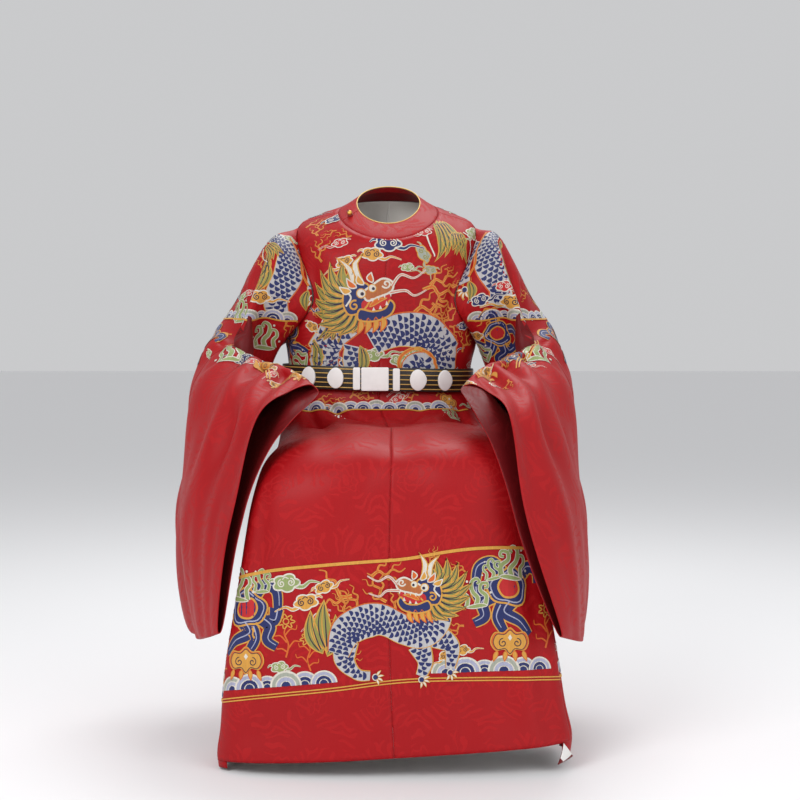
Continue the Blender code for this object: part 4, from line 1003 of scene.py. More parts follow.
def scaled_body(made, spine, halves, scale=0.0138, level=0, back="orange", ground="pearl"):
    """A scaled trunk, tail or limb along a spine, in metres, with a coloured ridge on one side."""
    line = curve(spine, per=10)
    run = lengths_along(line, 0)
    half = np.interp(run, np.linspace(0, run[-1], len(halves)), halves)
    ahead = unit(np.gradient(line, axis=0))
    aside = np.stack([-ahead[:, 1], ahead[:, 0]], axis=1)
    outline = np.vstack([line - aside * half[:, None], (line + aside * half[:, None])[::-1]])
    made.fill(ground, outline, level, real=1.0)
    made.line(back, line + aside * (half[:, None] + 0.0016), 0.0032, level, (0.7, 0.7))
    made.line("gold", line - aside * (half[:, None] + 0.0008), 0.0016, level)
    angle = np.linspace(-np.pi / 2, np.pi / 2, 6)
    for k, at in enumerate(np.arange(scale * 0.4, run[-1] - scale * 0.5, scale * 0.66)):
        place = np.array([np.interp(at, run, line[:, 0]), np.interp(at, run, line[:, 1])])
        way = unit(np.array([np.interp(at, run, ahead[:, 0]), np.interp(at, run, ahead[:, 1])]))
        wide = np.interp(at, run, half)
        count = max(int(round(2 * wide / scale)), 1)
        pitch = 2 * wide / count
        for n in range(count + (k % 2)):
            out = (n + (0.5 if k % 2 == 0 else 0.0) - count / 2) * pitch
            if abs(out) > wide - pitch * 0.36:
                continue
            size = pitch * 0.46
            shell = np.stack([scale * 0.60 * np.cos(angle) - scale * 0.20, size * np.sin(angle)], axis=1)
            turned = shell @ np.array([way, (-way[1], way[0])])
            made.fan("navy", place + (-way[1] * out, way[0] * out) + turned, level + 2)


def claw(made, x, y, size, turn, level=3):
    paw = Drawing()
    paw.fill("navy", circle(0, 0, 0.34, 12), 0, "white", 0.10, size)
    for way in (-60, -20, 20, 60):
        tip = (0.95 * math.cos(math.radians(way)), 0.95 * math.sin(math.radians(way)))
        paw.leaf("white", (tip[0] * 0.25, tip[1] * 0.25), tip, 0.24, 0.06, 2, "gold", 0.05, size)
    made.add(paw, (x, y), size, turn, level=level)


def beast_head():
    """The head of a horned lion-like beast that looks to the right, one unit long."""
    made = Drawing()
    for way, reach, width, bend in (
        (88, 0.56, 0.20, 0.12), (104, 0.66, 0.22, 0.15), (120, 0.76, 0.24, 0.17), (136, 0.82, 0.24, 0.17),
        (152, 0.86, 0.24, 0.16), (168, 0.86, 0.24, 0.15), (184, 0.82, 0.24, 0.14), (200, 0.78, 0.24, 0.13),
        (216, 0.72, 0.23, 0.12), (232, 0.64, 0.22, 0.11), (250, 0.54, 0.20, 0.10),
    ):
        c, s = math.cos(math.radians(way)), math.sin(math.radians(way))
        tuft(made, (-0.04 + 0.1 * c, 0.04 + 0.1 * s), (-0.04 + reach * c, 0.04 + reach * s), width, bend)
    for root, tip, bend in (((-0.12, 0.26), (-0.30, 0.74), -0.10), ((0.06, 0.30), (0.10, 0.80), 0.10)):
        made.leaf("white", root, tip, 0.10, bend, 4, "gold", 0.02)
    skull = curve([(-0.32, 0.02), (-0.26, 0.22), (-0.02, 0.32), (0.14, 0.26), (0.12, 0.02), (-0.04, -0.14), (-0.24, -0.16)], True, 5)
    made.fill("navy", skull, 5, "gold", 0.03)
    made.line("white", curve([(-0.28, -0.02), (-0.18, 0.10), (-0.22, 0.20)]), 0.03, 7)
    made.line("gold", spiral(-0.14, -0.03, 0.09, 1.2, 60), 0.03, 7)
    made.fill("red", curve([(0.0, 0.02), (0.26, 0.08), (0.46, 0.12), (0.42, -0.06), (0.20, -0.14), (0.0, -0.14)], True, 5), 6)
    made.fill("rust", curve([(0.04, 0.16), (0.20, 0.26), (0.38, 0.34), (0.52, 0.26), (0.48, 0.12), (0.28, 0.06), (0.08, 0.02)], True, 5),
              7, "white", 0.032)
    made.fill("navy", curve([(-0.06, -0.10), (0.14, -0.16), (0.34, -0.14), (0.44, -0.02), (0.50, -0.12), (0.40, -0.26), (0.14, -0.32), (-0.1, -0.26)], True, 5),
              7, "gold", 0.03)
    made.line("white", spiral(0.42, 0.25, 0.075, 1.2, 200), 0.028, 9)
    made.leaf("orange", (0.10, -0.08), (0.40, 0.02), 0.07, 0.03, 8, "gold", 0.015)
    for x, y, drop in ((0.16, 0.05, -0.07), (0.26, 0.07, -0.07), (0.36, 0.09, -0.07), (0.46, 0.12, -0.09),
                       (0.16, -0.15, 0.06), (0.27, -0.14, 0.06), (0.38, -0.09, 0.07)):
        made.fan("white", [(x - 0.028, y), (x + 0.028, y), (x + 0.004, y + drop)], 9)
    for x, y, radius in ((0.0, 0.15, 0.066), (0.19, 0.21, 0.056)):
        made.fan("gold", circle(x, y, radius * 1.25), 9)
        made.fan("white", circle(x, y, radius), 10)
        made.fan("dark", circle(x + 0.015, y - 0.01, radius * 0.45, 10), 11)
    for root, tip, colour in (((-0.06, 0.25), (-0.20, 0.42), "orange"), ((0.06, 0.28), (0.0, 0.46), "gold"),
                              ((0.20, 0.30), (0.22, 0.46), "orange"), ((-0.16, 0.2), (-0.34, 0.3), "gold")):
        made.leaf(colour, root, tip, 0.10, 0.03, 8, "white", 0.02)
    for line in (((0.50, 0.20), (0.66, 0.36), (0.86, 0.28), (1.06, 0.38)), ((0.46, 0.10), (0.70, 0.10), (0.84, 0.0), (1.04, 0.06))):
        made.corded("flesh", "white", curve(line), 0.02, 0.018, 8, (1.0, 0.4))
    for x in (-0.06, 0.06, 0.18, 0.30):
        made.leaf("gold", (x, -0.26), (x - 0.08, -0.50), 0.09, 0.03, 6, "orange", 0.018)
    return made


def coiled_beast():
    """The chest's beast, in metres: its head to the left, its body arched to the right."""
    made = Drawing()
    scaled_body(made, [(-0.060, -0.030), (-0.112, -0.062), (-0.124, -0.104), (-0.112, -0.140)], (0.020, 0.030, 0.030, 0.026))
    scaled_body(made, [(-0.030, -0.070), (0.020, -0.046), (0.074, -0.052), (0.106, -0.092), (0.098, -0.140)],
                (0.022, 0.030, 0.034, 0.034, 0.030), level=3)
    scaled_body(made, [(-0.060, -0.076), (-0.066, -0.110), (-0.040, -0.136)], (0.020, 0.017, 0.012), level=6, back="gold")
    scaled_body(made, [(0.040, -0.140), (0.046, -0.110), (0.070, -0.104), (0.082, -0.130)], (0.015, 0.016, 0.014, 0.012), level=8)
    claw(made, -0.028, -0.140, 0.022, -30, 10)
    tuft(made, (-0.050, -0.075), (-0.055, -0.140), 0.020, 0.008, 9, 1.0)
    tuft(made, (-0.140, -0.060), (-0.150, -0.128), 0.022, 0.008, 3, 1.0)
    ring_line = curve([(0.026, -0.138), (0.022, -0.100), (0.052, -0.080), (0.086, -0.096), (0.094, -0.128)])
    made.corded("orange", "gold", ring_line, 0.0035, 0.0018, 12)
    made.add(beast_head(), (-0.048, 0.006), 0.118, 8, level=12)
    made.add(flame(), (0.066, 0.030), 0.085, -8, level=2)
    made.add(flame(), (0.050, -0.012), 0.075, 12, level=2)
    made.add(flame(0.6), (0.108, -0.040), 0.050, 60, level=2)
    return made


def walking_beast():
    """The band's beast, in metres: it walks to the right with its tail raised, its head turned back."""
    made = Drawing()
    for root, tip, width, bend in (
        ((-0.150, -0.040), (-0.156, 0.072), 0.040, 0.008), ((-0.160, -0.044), (-0.186, 0.050), 0.034, 0.012),
        ((-0.150, -0.050), (-0.132, 0.040), 0.030, -0.010),
    ):
        tuft(made, root, tip, width, bend, 0, 1.0)
    for spine, halves in (
        (((-0.110, -0.020), (-0.112, -0.060), (-0.086, -0.090), (-0.058, -0.094)), (0.026, 0.022, 0.012, 0.009)),
        (((0.050, -0.030), (0.062, -0.066), (0.052, -0.096)), (0.024, 0.016, 0.010)),
        (((0.088, -0.010), (0.120, -0.034), (0.116, -0.080)), (0.026, 0.016, 0.009)),
    ):
        scaled_body(made, spine, halves, level=3, back="gold")
    scaled_body(made, [(-0.126, -0.046), (-0.104, 0.006), (-0.040, 0.028), (0.020, 0.004), (0.062, -0.002), (0.092, 0.030), (0.082, 0.070)],
                (0.022, 0.034, 0.036, 0.030, 0.032, 0.030, 0.024), level=6)
    for x, y, turn in ((-0.046, -0.097, -10), (0.054, -0.104, -40), (0.116, -0.090, -60)):
        claw(made, x, y, 0.020, turn, 9)
    made.add(beast_head(), (0.064, 0.078), 0.118, 0, flip=True, level=12)
    for x, y, turn, size in ((-0.020, 0.066, 120, 0.075), (-0.066, 0.050, 140, 0.070), (-0.104, 0.040, 110, 0.060), (0.000, 0.050, 70, 0.06)):
        made.add(flame(), (x, y), size, turn, level=1)
    return made


def mane():
    """Long locks side by side, one unit high."""
    made = Drawing()
    for k, x in enumerate((-0.22, -0.08, 0.08, 0.22)):
        tuft(made, (x * 0.5, 0.5), (x * 1.5, -0.5 + 0.08 * k), 0.24, 0.12 - 0.06 * k)
    made.line("white", curve([(-0.2, 0.5), (-0.42, 0.1), (-0.36, -0.4)]), 0.05, 4, (1.0, 0.5))
    return made


def sleeve_beast():
    """A stretch of the beast on a sleeve, in metres: two scaled coils with a mane and a claw."""
    made = Drawing()
    scaled_body(made, [(-0.060, 0.120), (-0.010, 0.100), (0.014, 0.050), (-0.004, -0.004), (-0.034, -0.050), (-0.030, -0.090)],
                (0.018, 0.026, 0.032, 0.032, 0.026, 0.018))
    scaled_body(made, [(0.052, 0.060), (0.066, 0.010), (0.048, -0.044)], (0.014, 0.020, 0.014), level=3, back="gold")
    for root, tip, width, bend in (
        ((-0.040, 0.070), (-0.098, 0.030), 0.030, 0.012), ((-0.040, 0.050), (-0.092, -0.004), 0.028, 0.012),
        ((-0.046, 0.030), (-0.080, -0.034), 0.024, 0.010), ((0.036, -0.040), (0.030, -0.086), 0.022, -0.008),
    ):
        tuft(made, root, tip, width, bend, 3, 1.0)
    claw(made, 0.044, -0.060, 0.022, -70, 6)
    line = curve([(0.040, 0.090), (0.044, 0.040), (0.030, 0.0), (0.040, -0.030)])
    made.corded("orange", "gold", line, 0.0035, 0.0016, 8)
    made.line("white", circle(0.078, 0.060, 0.010, 12), 0.003, 4, closed=True)
    made.fan("orange", circle(0.078, 0.060, 0.006, 8), 4)
    made.add(flame(), (-0.030, -0.090), 0.060, -60)
    made.add(flame(), (0.070, 0.020), 0.055, 30)
    return made

# Where the figures lie: those in front by the pixel of the photo's view that each is centred on, and
# those out of its sight by a place on their sheet, in table rows and degrees, or stations and turns.
grids, faces_of, owners = [], [], []
for sheet in sheets.values():
    n, m = sheet.points.shape[:2]
    spans = m if sheet.cyclic else m - 1
    i, k = (grid.ravel() for grid in np.meshgrid(np.arange(n - 1), np.arange(spans), indexing="ij"))
    start = sum(len(grid) for grid in grids)
    quads = np.stack([i * m + k, i * m + (k + 1) % m, (i + 1) * m + (k + 1) % m, (i + 1) * m + k], axis=1) + start
    grids.append(sheet.points.reshape(-1, 3))
    faces_of.extend(quads.tolist())
    owners.extend(zip([sheet] * len(i), i.tolist(), k.tolist()))
cloth_tree = BVHTree.FromPolygons(np.concatenate(grids).tolist(), faces_of)


def seen_at(x, y):
    """The sheet and the place on it that a pixel of the photo's view shows."""
    tilt = math.radians(CAMERA_DOWN)
    half = math.tan(math.radians(CAMERA_ANGLE / 2))
    across, up = (x / PHOTO_PIXELS * 2 - 1) * half, (1 - y / PHOTO_PIXELS * 2) * half
    arrow = Vector((across, math.cos(tilt) + up * math.sin(tilt), up * math.cos(tilt) - math.sin(tilt)))
    hit = cloth_tree.ray_cast(Vector(CAMERA_PLACE), arrow.normalized())
    if hit[0] is None:
        return None
    sheet, i, j = owners[hit[2]]
    place_i, place_j = np.array([float(i)]), np.array([float(j)])
    away = np.array(hit[0]) - sheet.points[i, j]
    slopes = sheet.slopes[i, j]
    move = np.linalg.lstsq(slopes, away, rcond=None)[0]
    return sheet, float(place_i[0] + np.clip(move[0], 0, 1)), float(place_j[0] + np.clip(move[1], 0, 1))


def charted(sheet, row, angle):
    """The place on a sheet at a table row and angle, or a station and turn."""
    rows, angles = sheet.chart
    if sheet.cyclic:
        return row / LAST_STATION * (len(rows) - 1), (angle % 2) / 2 * rows.shape[1]
    i = float(np.interp(row, rows[:, 0], np.arange(len(rows))))
    line = angles[int(round(i))]
    way = 1 if line[-1] > line[0] else -1
    return i, float(np.interp(angle * way, line * way, np.arange(len(line))))


woven = {name: [] for name in sheets}
taken = []


def laid(drawing, place, size=1.0, turn=0.0, flip=False, level=0):
    """Lays a drawing on a sheet around a place, with its Y up the cloth, and keeps its shapes."""
    sheet, i, j = place
    at_i, at_j = np.array([float(i)]), np.array([float(j)])
    normal = unit(sheet.read(sheet.normals, at_i, at_j))[0]
    up = np.array([0.0, 0.12, 1.0]) - normal * np.dot((0.0, 0.12, 1.0), normal)
    up = up / np.linalg.norm(up)
    right = np.cross(up, normal)
    sizes = [len(shape[1]) for shape in drawing.shapes]
    flat = moved(np.concatenate([shape[1] for shape in drawing.shapes]), size, turn, flip)
    arrow = flat[:, :1] * right + flat[:, 1:] * up
    i, j, off = sheet.walk(i, j, arrow, 10)
    points, normals = sheet.read(sheet.points, i, j), unit(sheet.read(sheet.normals, i, j))
    start = 0
    for (colour, own, faces, height), count in zip(drawing.shapes, sizes):
        part = slice(start, start + count)
        lift = FIGURE_LIFT + LEVEL_LIFT * (height + level)
        woven[sheet.name].append((colour, points[part] + normals[part] * lift, faces, off[part], normals[part]))
        start += count
    taken.append((sheet.read(sheet.points, at_i, at_j)[0], size * 0.55 if size < 0.5 else 0.088))


def line_on(sheet, places, colour, width, level=0, aside=0.0):
    """Lays a ribbon along places of a sheet, moved aside by a distance on the cloth."""
    places = np.asarray(places, float)
    if sheet.cyclic:
        places[:, 1] = np.unwrap(places[:, 1], period=sheet.points.shape[1])
    i, j = curve(places, per=max(int(240 / len(places)), 2)).T
    points, normals = sheet.read(sheet.points, i, j), unit(sheet.read(sheet.normals, i, j))
    ahead = unit(np.gradient(points, axis=0))
    out = np.cross(normals, ahead)
    rims = []
    for reach in (aside - width / 2, aside + width / 2):
        to_i, to_j, _ = sheet.walk(i, j, out * reach, 1)
        lift = FIGURE_LIFT + LEVEL_LIFT * level
        rims.append(sheet.read(sheet.points, to_i, to_j) + unit(sheet.read(sheet.normals, to_i, to_j)) * lift)
    last = len(i)
    faces = [(k, k + 1, k + 1 + last, k + last) for k in range(last - 1)]
    woven[sheet.name].append((colour, np.vstack(rims), faces, np.zeros(2 * last, bool), np.vstack([normals, normals])))


DRAWINGS = {
    "coiled_beast": coiled_beast(), "walking_beast": walking_beast(), "sleeve_beast": sleeve_beast(),
    "blue_cloud": cloud(), "gold_cloud": cloud("gold", "white", "dark"), "green_cloud": cloud("sage", "white", "white", 0.6),
    "grey_cloud": cloud("grey", "gold", "olive"), "pale_cloud": cloud("red", "white", "white"),
    "wave": wave(), "grey_wave": wave(("white", "grey", "white", "lavender", "white", "navy")),
    "mane": mane(), "foam": foam(), "rock": rock(), "lotus": lotus(), "flame": flame(), "sprig": sprig(),
}
IN_SIGHT = (  # drawing, x, y (pixels), size (m), turn, mirrored, level
    ("coiled_beast", 388, 306, 1.06, 0, 0, 0),
    ("mane", 447, 238, 0.105, 8, 0, 4), ("mane", 462, 244, 0.070, -6, 1, 6), ("mane", 333, 330, 0.070, -30, 0, 2),
    ("mane", 272, 250, 0.060, 40, 0, 4), ("mane", 520, 268, 0.060, -30, 1, 4),
    ("blue_cloud", 335, 219, 0.046, 40, 0, 8), ("blue_cloud", 388, 243, 0.056, 0, 0, 8),
    ("pale_cloud", 424, 232, 0.034, 15, 1, 6), ("gold_cloud", 372, 254, 0.046, -5, 0, 2),
    ("grey_cloud", 423, 254, 0.042, -60, 0, 2), ("gold_cloud", 344, 262, 0.040, 20, 1, 1),
    ("pale_cloud", 340, 243, 0.036, 10, 1, 2), ("flame", 322, 262, 0.055, 100, 0, 0),
    ("flame", 430, 285, 0.070, 20, 0, 0), ("flame", 432, 303, 0.055, -70, 0, 0),
    ("flame", 352, 236, 0.040, 160, 0, 0), ("grey_cloud", 430, 270, 0.032, 0, 1, 0),
    ("sleeve_beast", 290, 272, 1.0, 6, 0, 0), ("sleeve_beast", 488, 262, 1.0, -6, 1, 0),
    ("gold_cloud", 260, 297, 0.046, 5, 0, 12), ("flame", 306, 228, 0.055, 40, 0, 0),
    ("flame", 318, 236, 0.050, 100, 0, 0), ("foam", 241, 312, 0.046, 8, 0, 10),
    ("flame", 268, 282, 0.055, 200, 0, 0), ("flame", 262, 268, 0.045, 100, 0, 0),
    ("gold_cloud", 511, 302, 0.050, -6, 1, 12), ("pale_cloud", 504, 286, 0.036, 0, 0, 3),
    ("flame", 470, 218, 0.055, 160, 0, 0), ("flame", 504, 240, 0.050, 100, 0, 0),
    ("flame", 464, 300, 0.050, 90, 0, 0), ("blue_cloud", 480, 300, 0.040, 20, 0, 3),
    ("rock", 494, 338, 0.100, -30, 0, 8), ("foam", 482, 352, 0.044, 40, 0, 12), ("gold_cloud", 476, 336, 0.034, 0, 0, 9),
    ("foam", 524, 338, 0.050, -10, 0, 12), ("rock", 510, 356, 0.060, 30, 1, 8), ("flame", 462, 352, 0.055, 60, 0, 4),
    ("rock", 292, 334, 0.100, 12, 1, 8), ("foam", 265, 336, 0.058, -6, 0, 12), ("foam", 279, 350, 0.034, 60, 0, 12),
    ("foam", 300, 361, 0.046, 80, 0, 10), ("foam", 284, 364, 0.036, 60, 0, 10),
    ("lotus", 299, 378, 0.040, 10, 0, 4), ("gold_cloud", 276, 386, 0.030, -20, 0, 4), ("flame", 300, 396, 0.04, -20, 0, 3),
    ("blue_cloud", 310, 388, 0.036, 20, 0, 4), ("flame", 283, 400, 0.04, -40, 0, 3), ("flame", 318, 400, 0.04, -10, 0, 3),
    ("lotus", 448, 402, 0.036, -30, 0, 4), ("blue_cloud", 447, 384, 0.034, 60, 0, 4),
    ("flame", 460, 390, 0.040, 50, 0, 3), ("flame", 478, 378, 0.040, 20, 0, 3),
    ("gold_cloud", 487, 372, 0.030, 30, 0, 4), ("flame", 508, 380, 0.045, -70, 0, 3),
    ("foam", 452, 414, 0.036, -10, 0, 5),
    ("flame", 350, 398, 0.040, 20, 0, 0), ("flame", 374, 398, 0.040, 150, 0, 0), ("flame", 436, 396, 0.036, 20, 0, 0),
    ("walking_beast", 396, 632, 0.80, 1, 0, 14),
    ("rock", 247, 617, 0.128, 0, 0, 2), ("lotus", 246, 664, 0.062, 0, 0, 10), ("foam", 240, 586, 0.056, 0, 0, 12),
    ("foam", 262, 582, 0.040, 0, 1, 12),
    ("rock", 508, 596, 0.128, -4, 1, 2), ("lotus", 510, 645, 0.062, 0, 0, 10), ("foam", 512, 564, 0.056, -6, 0, 12),
    ("foam", 476, 594, 0.050, 4, 1, 12), ("foam", 492, 570, 0.036, 10, 1, 12), ("green_cloud", 286, 583, 0.052, 8, 0, 8), ("gold_cloud", 306, 602, 0.046, 10, 1, 3),
    ("gold_cloud", 324, 587, 0.036, 24, 0, 2), ("flame", 352, 596, 0.080, 160, 0, 0), ("flame", 372, 576, 0.060, 10, 0, 0),
    ("sprig", 286, 636, 0.075, 0, 0, 0), ("sprig", 309, 652, 0.066, 6, 1, 0), ("sprig", 546, 625, 0.080, -4, 0, 0),
    ("rock", 550, 610, 0.070, 0, 0, 0), ("gold_cloud", 462, 650, 0.030, 10, 0, 8),
    ("flame", 430, 562, 0.030, 60, 0, 0),
)
for name, x, y, size, turn, mirrored, level in IN_SIGHT:
    place = seen_at(x, y)
    if place is None:
        print("MISSED", name, x, y)
        continue
    laid(DRAWINGS[name], place, size, turn, bool(mirrored), level)

OUT_OF_SIGHT = (  # drawing, sheet, row or station, angle or turn, size (m), turn, mirrored, level
    ("coiled_beast", "back", 5.6, 180.0, 1.0, 0, 0, 0), ("walking_beast", "back", 23.5, 180.0, 0.78, 0, 0, 14),
    ("blue_cloud", "back", 3.0, 196.0, 0.056, 0, 0, 8), ("gold_cloud", "back", 3.0, 160.0, 0.056, 0, 1, 8),
    ("gold_cloud", "back", 4.6, 140.0, 0.050, 10, 0, 2), ("blue_cloud", "back", 4.8, 220.0, 0.050, 10, 0, 2),
    ("flame", "back", 6.0, 134.0, 0.070, 80, 0, 0), ("flame", "back", 6.2, 228.0, 0.070, 100, 0, 0),
    ("rock", "back", 23.2, 134.0, 0.110, 0, 0, 2), ("lotus", "back", 24.3, 134.0, 0.060, 0, 0, 10),
    ("rock", "back", 23.2, 226.0, 0.110, 0, 1, 2), ("lotus", "back", 24.3, 226.0, 0.060, 0, 0, 10),
    ("green_cloud", "back", 22.8, 212.0, 0.050, 0, 0, 4), ("gold_cloud", "back", 22.8, 150.0, 0.050, 0, 0, 4),
    ("sprig", "back", 23.8, 210.0, 0.070, 0, 0, 0), ("sprig", "back", 23.8, 148.0, 0.070, 0, 1, 0),
    ("sleeve_beast", "sleeve_left", 1.6, 1.55, 1.0, 0, 1, 0), ("sleeve_beast", "sleeve_right", 1.6, 1.55, 1.0, 0, 0, 0),
    ("gold_cloud", "sleeve_left", 2.6, 1.72, 0.050, 0, 0, 4), ("gold_cloud", "sleeve_right", 2.6, 1.72, 0.050, 0, 1, 4),
    ("rock", "sleeve_left", 4.6, 1.80, 0.090, 0, 0, 8), ("rock", "sleeve_right", 4.6, 1.80, 0.090, 0, 1, 8),
    ("foam", "sleeve_left", 6.0, 1.86, 0.070, 0, 0, 8), ("foam", "sleeve_right", 6.0, 1.86, 0.070, 0, 1, 8),
    ("blue_cloud", "sleeve_left", 7.0, 1.84, 0.046, 0, 0, 4), ("blue_cloud", "sleeve_right", 6.6, 1.86, 0.046, 0, 1, 4),
    ("lotus", "sleeve_left", 8.6, 1.88, 0.046, 0, 0, 4), ("lotus", "sleeve_right", 7.6, 1.90, 0.046, 0, 1, 4),
)
for name, sheet, row, angle, size, turn, mirrored, level in OUT_OF_SIGHT:
    laid(DRAWINGS[name], (sheets[sheet], *charted(sheets[sheet], row, angle)), size, turn, bool(mirrored), level)

# The gold lines that end each figured zone, and the ranks of waves that stand on them.
LINES = (  # sheet, places, widths aside and wide (m)
    ("front", ((22.05, -64), (22.05, -12.5), (22.05, 6.5), (21.9, 30), (21.9, 64)), ((0.0, 0.0055),)),
    ("front", ((25.15, -64), (24.95, -22), (24.85, 4.5), (24.95, 30), (25.15, 64)), ((-0.0025, 0.0022), (0.0025, 0.0022))),
    ("back", ((22.0, 116), (22.0, 180), (22.0, 244)), ((0.0, 0.0055),)),
    ("back", ((25.1, 116), (25.1, 180), (25.1, 244)), ((-0.0025, 0.0022), (0.0025, 0.0022))),
    ("front", ((10.25, -56), (10.30, -30), (10.35, -17.5), (10.35, 10.5), (10.30, 30), (10.2, 56)), ((0.0, 0.003),)),
    ("back", ((9.9, 124), (10.0, 180), (9.9, 236)), ((0.0, 0.003),)),
    ("flap_left", ((22.0, 66), (22.0, 90), (22.0, 114)), ((0.0, 0.0055),)),
    ("flap_left", ((25.2, 66), (25.2, 90), (25.2, 114)), ((0.0, 0.0055),)),
    ("flap_right", ((22.0, -66), (22.0, -90), (22.0, -114)), ((0.0, 0.0055),)),
    ("flap_right", ((25.2, -66), (25.2, -90), (25.2, -114)), ((0.0, 0.0055),)),
)
for name, places, widths in LINES:
    for aside, width in widths:
        line_on(sheets[name], [charted(sheets[name], *place) for place in places], "gold", width, 14, aside)

SEEN_LINES = (  # the pixels that each double gold line on a sleeve passes
    ((249, 330), (251, 343), (253, 354)), ((257, 360), (262, 370), (268, 379)),
    ((272, 389), (284, 399), (298, 411)), ((536, 341), (528, 355), (518, 368)),
)
for pixels in SEEN_LINES:
    places = [seen_at(*pixel) for pixel in pixels]
    if all(place and place[0] is places[0][0] for place in places):
        for aside in (-0.0028, 0.0028):
            line_on(places[0][0], [place[1:] for place in places], "gold", 0.0026, 14, aside)
    else:
        print("MISSED LINE", pixels)


def wave_rank(sheet, places, radius, level=0):
    """Overlapping waves side by side along a line of places, alternate ones in front."""
    places = np.asarray(places, float)
    if sheet.cyclic:
        places[:, 1] = np.unwrap(places[:, 1], period=sheet.points.shape[1])
    points = sheet.read(sheet.points, *places.T)
    run = lengths_along(points, 0)
    for k, at in enumerate(np.arange(radius, run[-1] - radius * 0.6, radius * 1.32)):
        place = (float(np.interp(at, run, places[:, 0])), float(np.interp(at, run, places[:, 1])))
        ahead = np.array([np.interp(at + 0.01, run, points[:, axis]) - np.interp(at - 0.01, run, points[:, axis]) for axis in range(3)])
        normal = unit(sheet.read(sheet.normals, *np.array(place)[:, None]))[0]
        up = np.array([0.0, 0.12, 1.0])
        up = unit(up - normal * np.dot(up, normal))
        right = np.cross(up, normal)
        turn = math.degrees(math.atan2(np.dot(ahead, up), np.dot(ahead, right)))
        turn = turn - 180 if turn > 90 else turn + 180 if turn < -90 else turn
        size = radius * (1.0 + 0.14 * math.sin(k * 2.4))
        laid(DRAWINGS["wave" if k % 3 else "grey_wave"], (sheet, *place), size, turn, False, level + 7 * (k % 2))


RANKS = (  # sheet, first and last place, radius (m), level
    ("front", (24.88, -64.0), (24.75, -13.0), 0.026, 0), ("front", (24.72, 13.0), (24.88, 64.0), 0.026, 0),
    ("front", (10.26, -52.0), (10.26, 52.0), 0.020, 0), ("back", (25.0, 118.0), (25.0, 242.0), 0.026, 0),
    ("back", (9.8, 126.0), (9.8, 234.0), 0.022, 0),
    ("flap_left", (25.1, 70.0), (25.1, 110.0), 0.024, 0), ("flap_right", (25.1, -70.0), (25.1, -110.0), 0.024, 0),
)
for name, first, last, radius, level in RANKS:
    steps = np.linspace(0, 1, 40)
    along = [(first[0] + (last[0] - first[0]) * t, first[1] + (last[1] - first[1]) * t) for t in steps]
    wave_rank(sheets[name], [charted(sheets[name], *place) for place in along], radius, level)

# Both upper sleeves end their figures at one height, in waves on a gold line.
ZONE_FOOT = -0.222
for hand in ("left", "right"):
    sheet = sheets[f"sleeve_{hand}"]
    places = []
    for j in range(sheet.points.shape[1] // 2 - 1, -sheet.points.shape[1] // 2 + 6, -1):
        below = np.nonzero(sheet.points[:, j, 2] < ZONE_FOOT)[0]
        if len(below) and below[0] > 4:
            places.append((float(below[0]), float(j)))
    if len(places) > 8:
        i = np.convolve(np.pad([place[0] for place in places], 3, "edge"), np.ones(7) / 7, "valid")
        places = [(a, b) for a, (_, b) in zip(i, places)]
        line_on(sheet, places, "gold", 0.0035, 14)
        wave_rank(sheet, places, 0.022, 2)

# Small clouds and flames fill what is left of each zone.
ZONES = (  # sheet, rows or stations, angles or turns, how many tries
    ("front", (1.5, 9.9), (-76.0, 76.0), 1500), ("front", (22.4, 24.4), (-62.0, 62.0), 300),
    ("back", (1.5, 9.6), (104.0, 256.0), 1500), ("back", (22.4, 24.6), (118.0, 242.0), 300),
    ("sleeve_left", (0.25, 4.0), (0.0, 2.0), 1200), ("sleeve_right", (0.25, 4.0), (0.0, 2.0), 1200),
    ("sleeve_left", (4.4, 9.7), (1.76, 2.10), 500), ("sleeve_right", (4.4, 9.7), (1.76, 2.10), 500),
    ("flap_left", (22.2, 24.8), (68.0, 112.0), 60), ("flap_right", (22.2, 24.8), (-112.0, -68.0), 60),
)
FILLERS = ("flame", "gold_cloud", "flame", "blue_cloud", "flame", "green_cloud", "pale_cloud")
draw = np.random.default_rng(7)
for name, rows, angles, tries in ZONES:
    sheet = sheets[name]
    for _ in range(tries):
        row, angle = draw.uniform(*rows), draw.uniform(*angles)
        kind, size = FILLERS[draw.integers(len(FILLERS))], draw.uniform(0.024, 0.044)
        turn, mirrored = draw.uniform(-35, 35), bool(draw.integers(2))
        place = charted(sheet, row, angle)
        point = sheet.read(sheet.points, np.array([place[0]]), np.array([place[1]]))[0]
        if sheet.cyclic and rows[0] < 1 and point[2] < ZONE_FOOT + 0.03:
            continue
        if all(np.linalg.norm(point - other) > reach * 0.86 + size * 0.42 for other, reach in taken):
            laid(DRAWINGS[kind], (sheet, *place), size, turn, mirrored, 0)

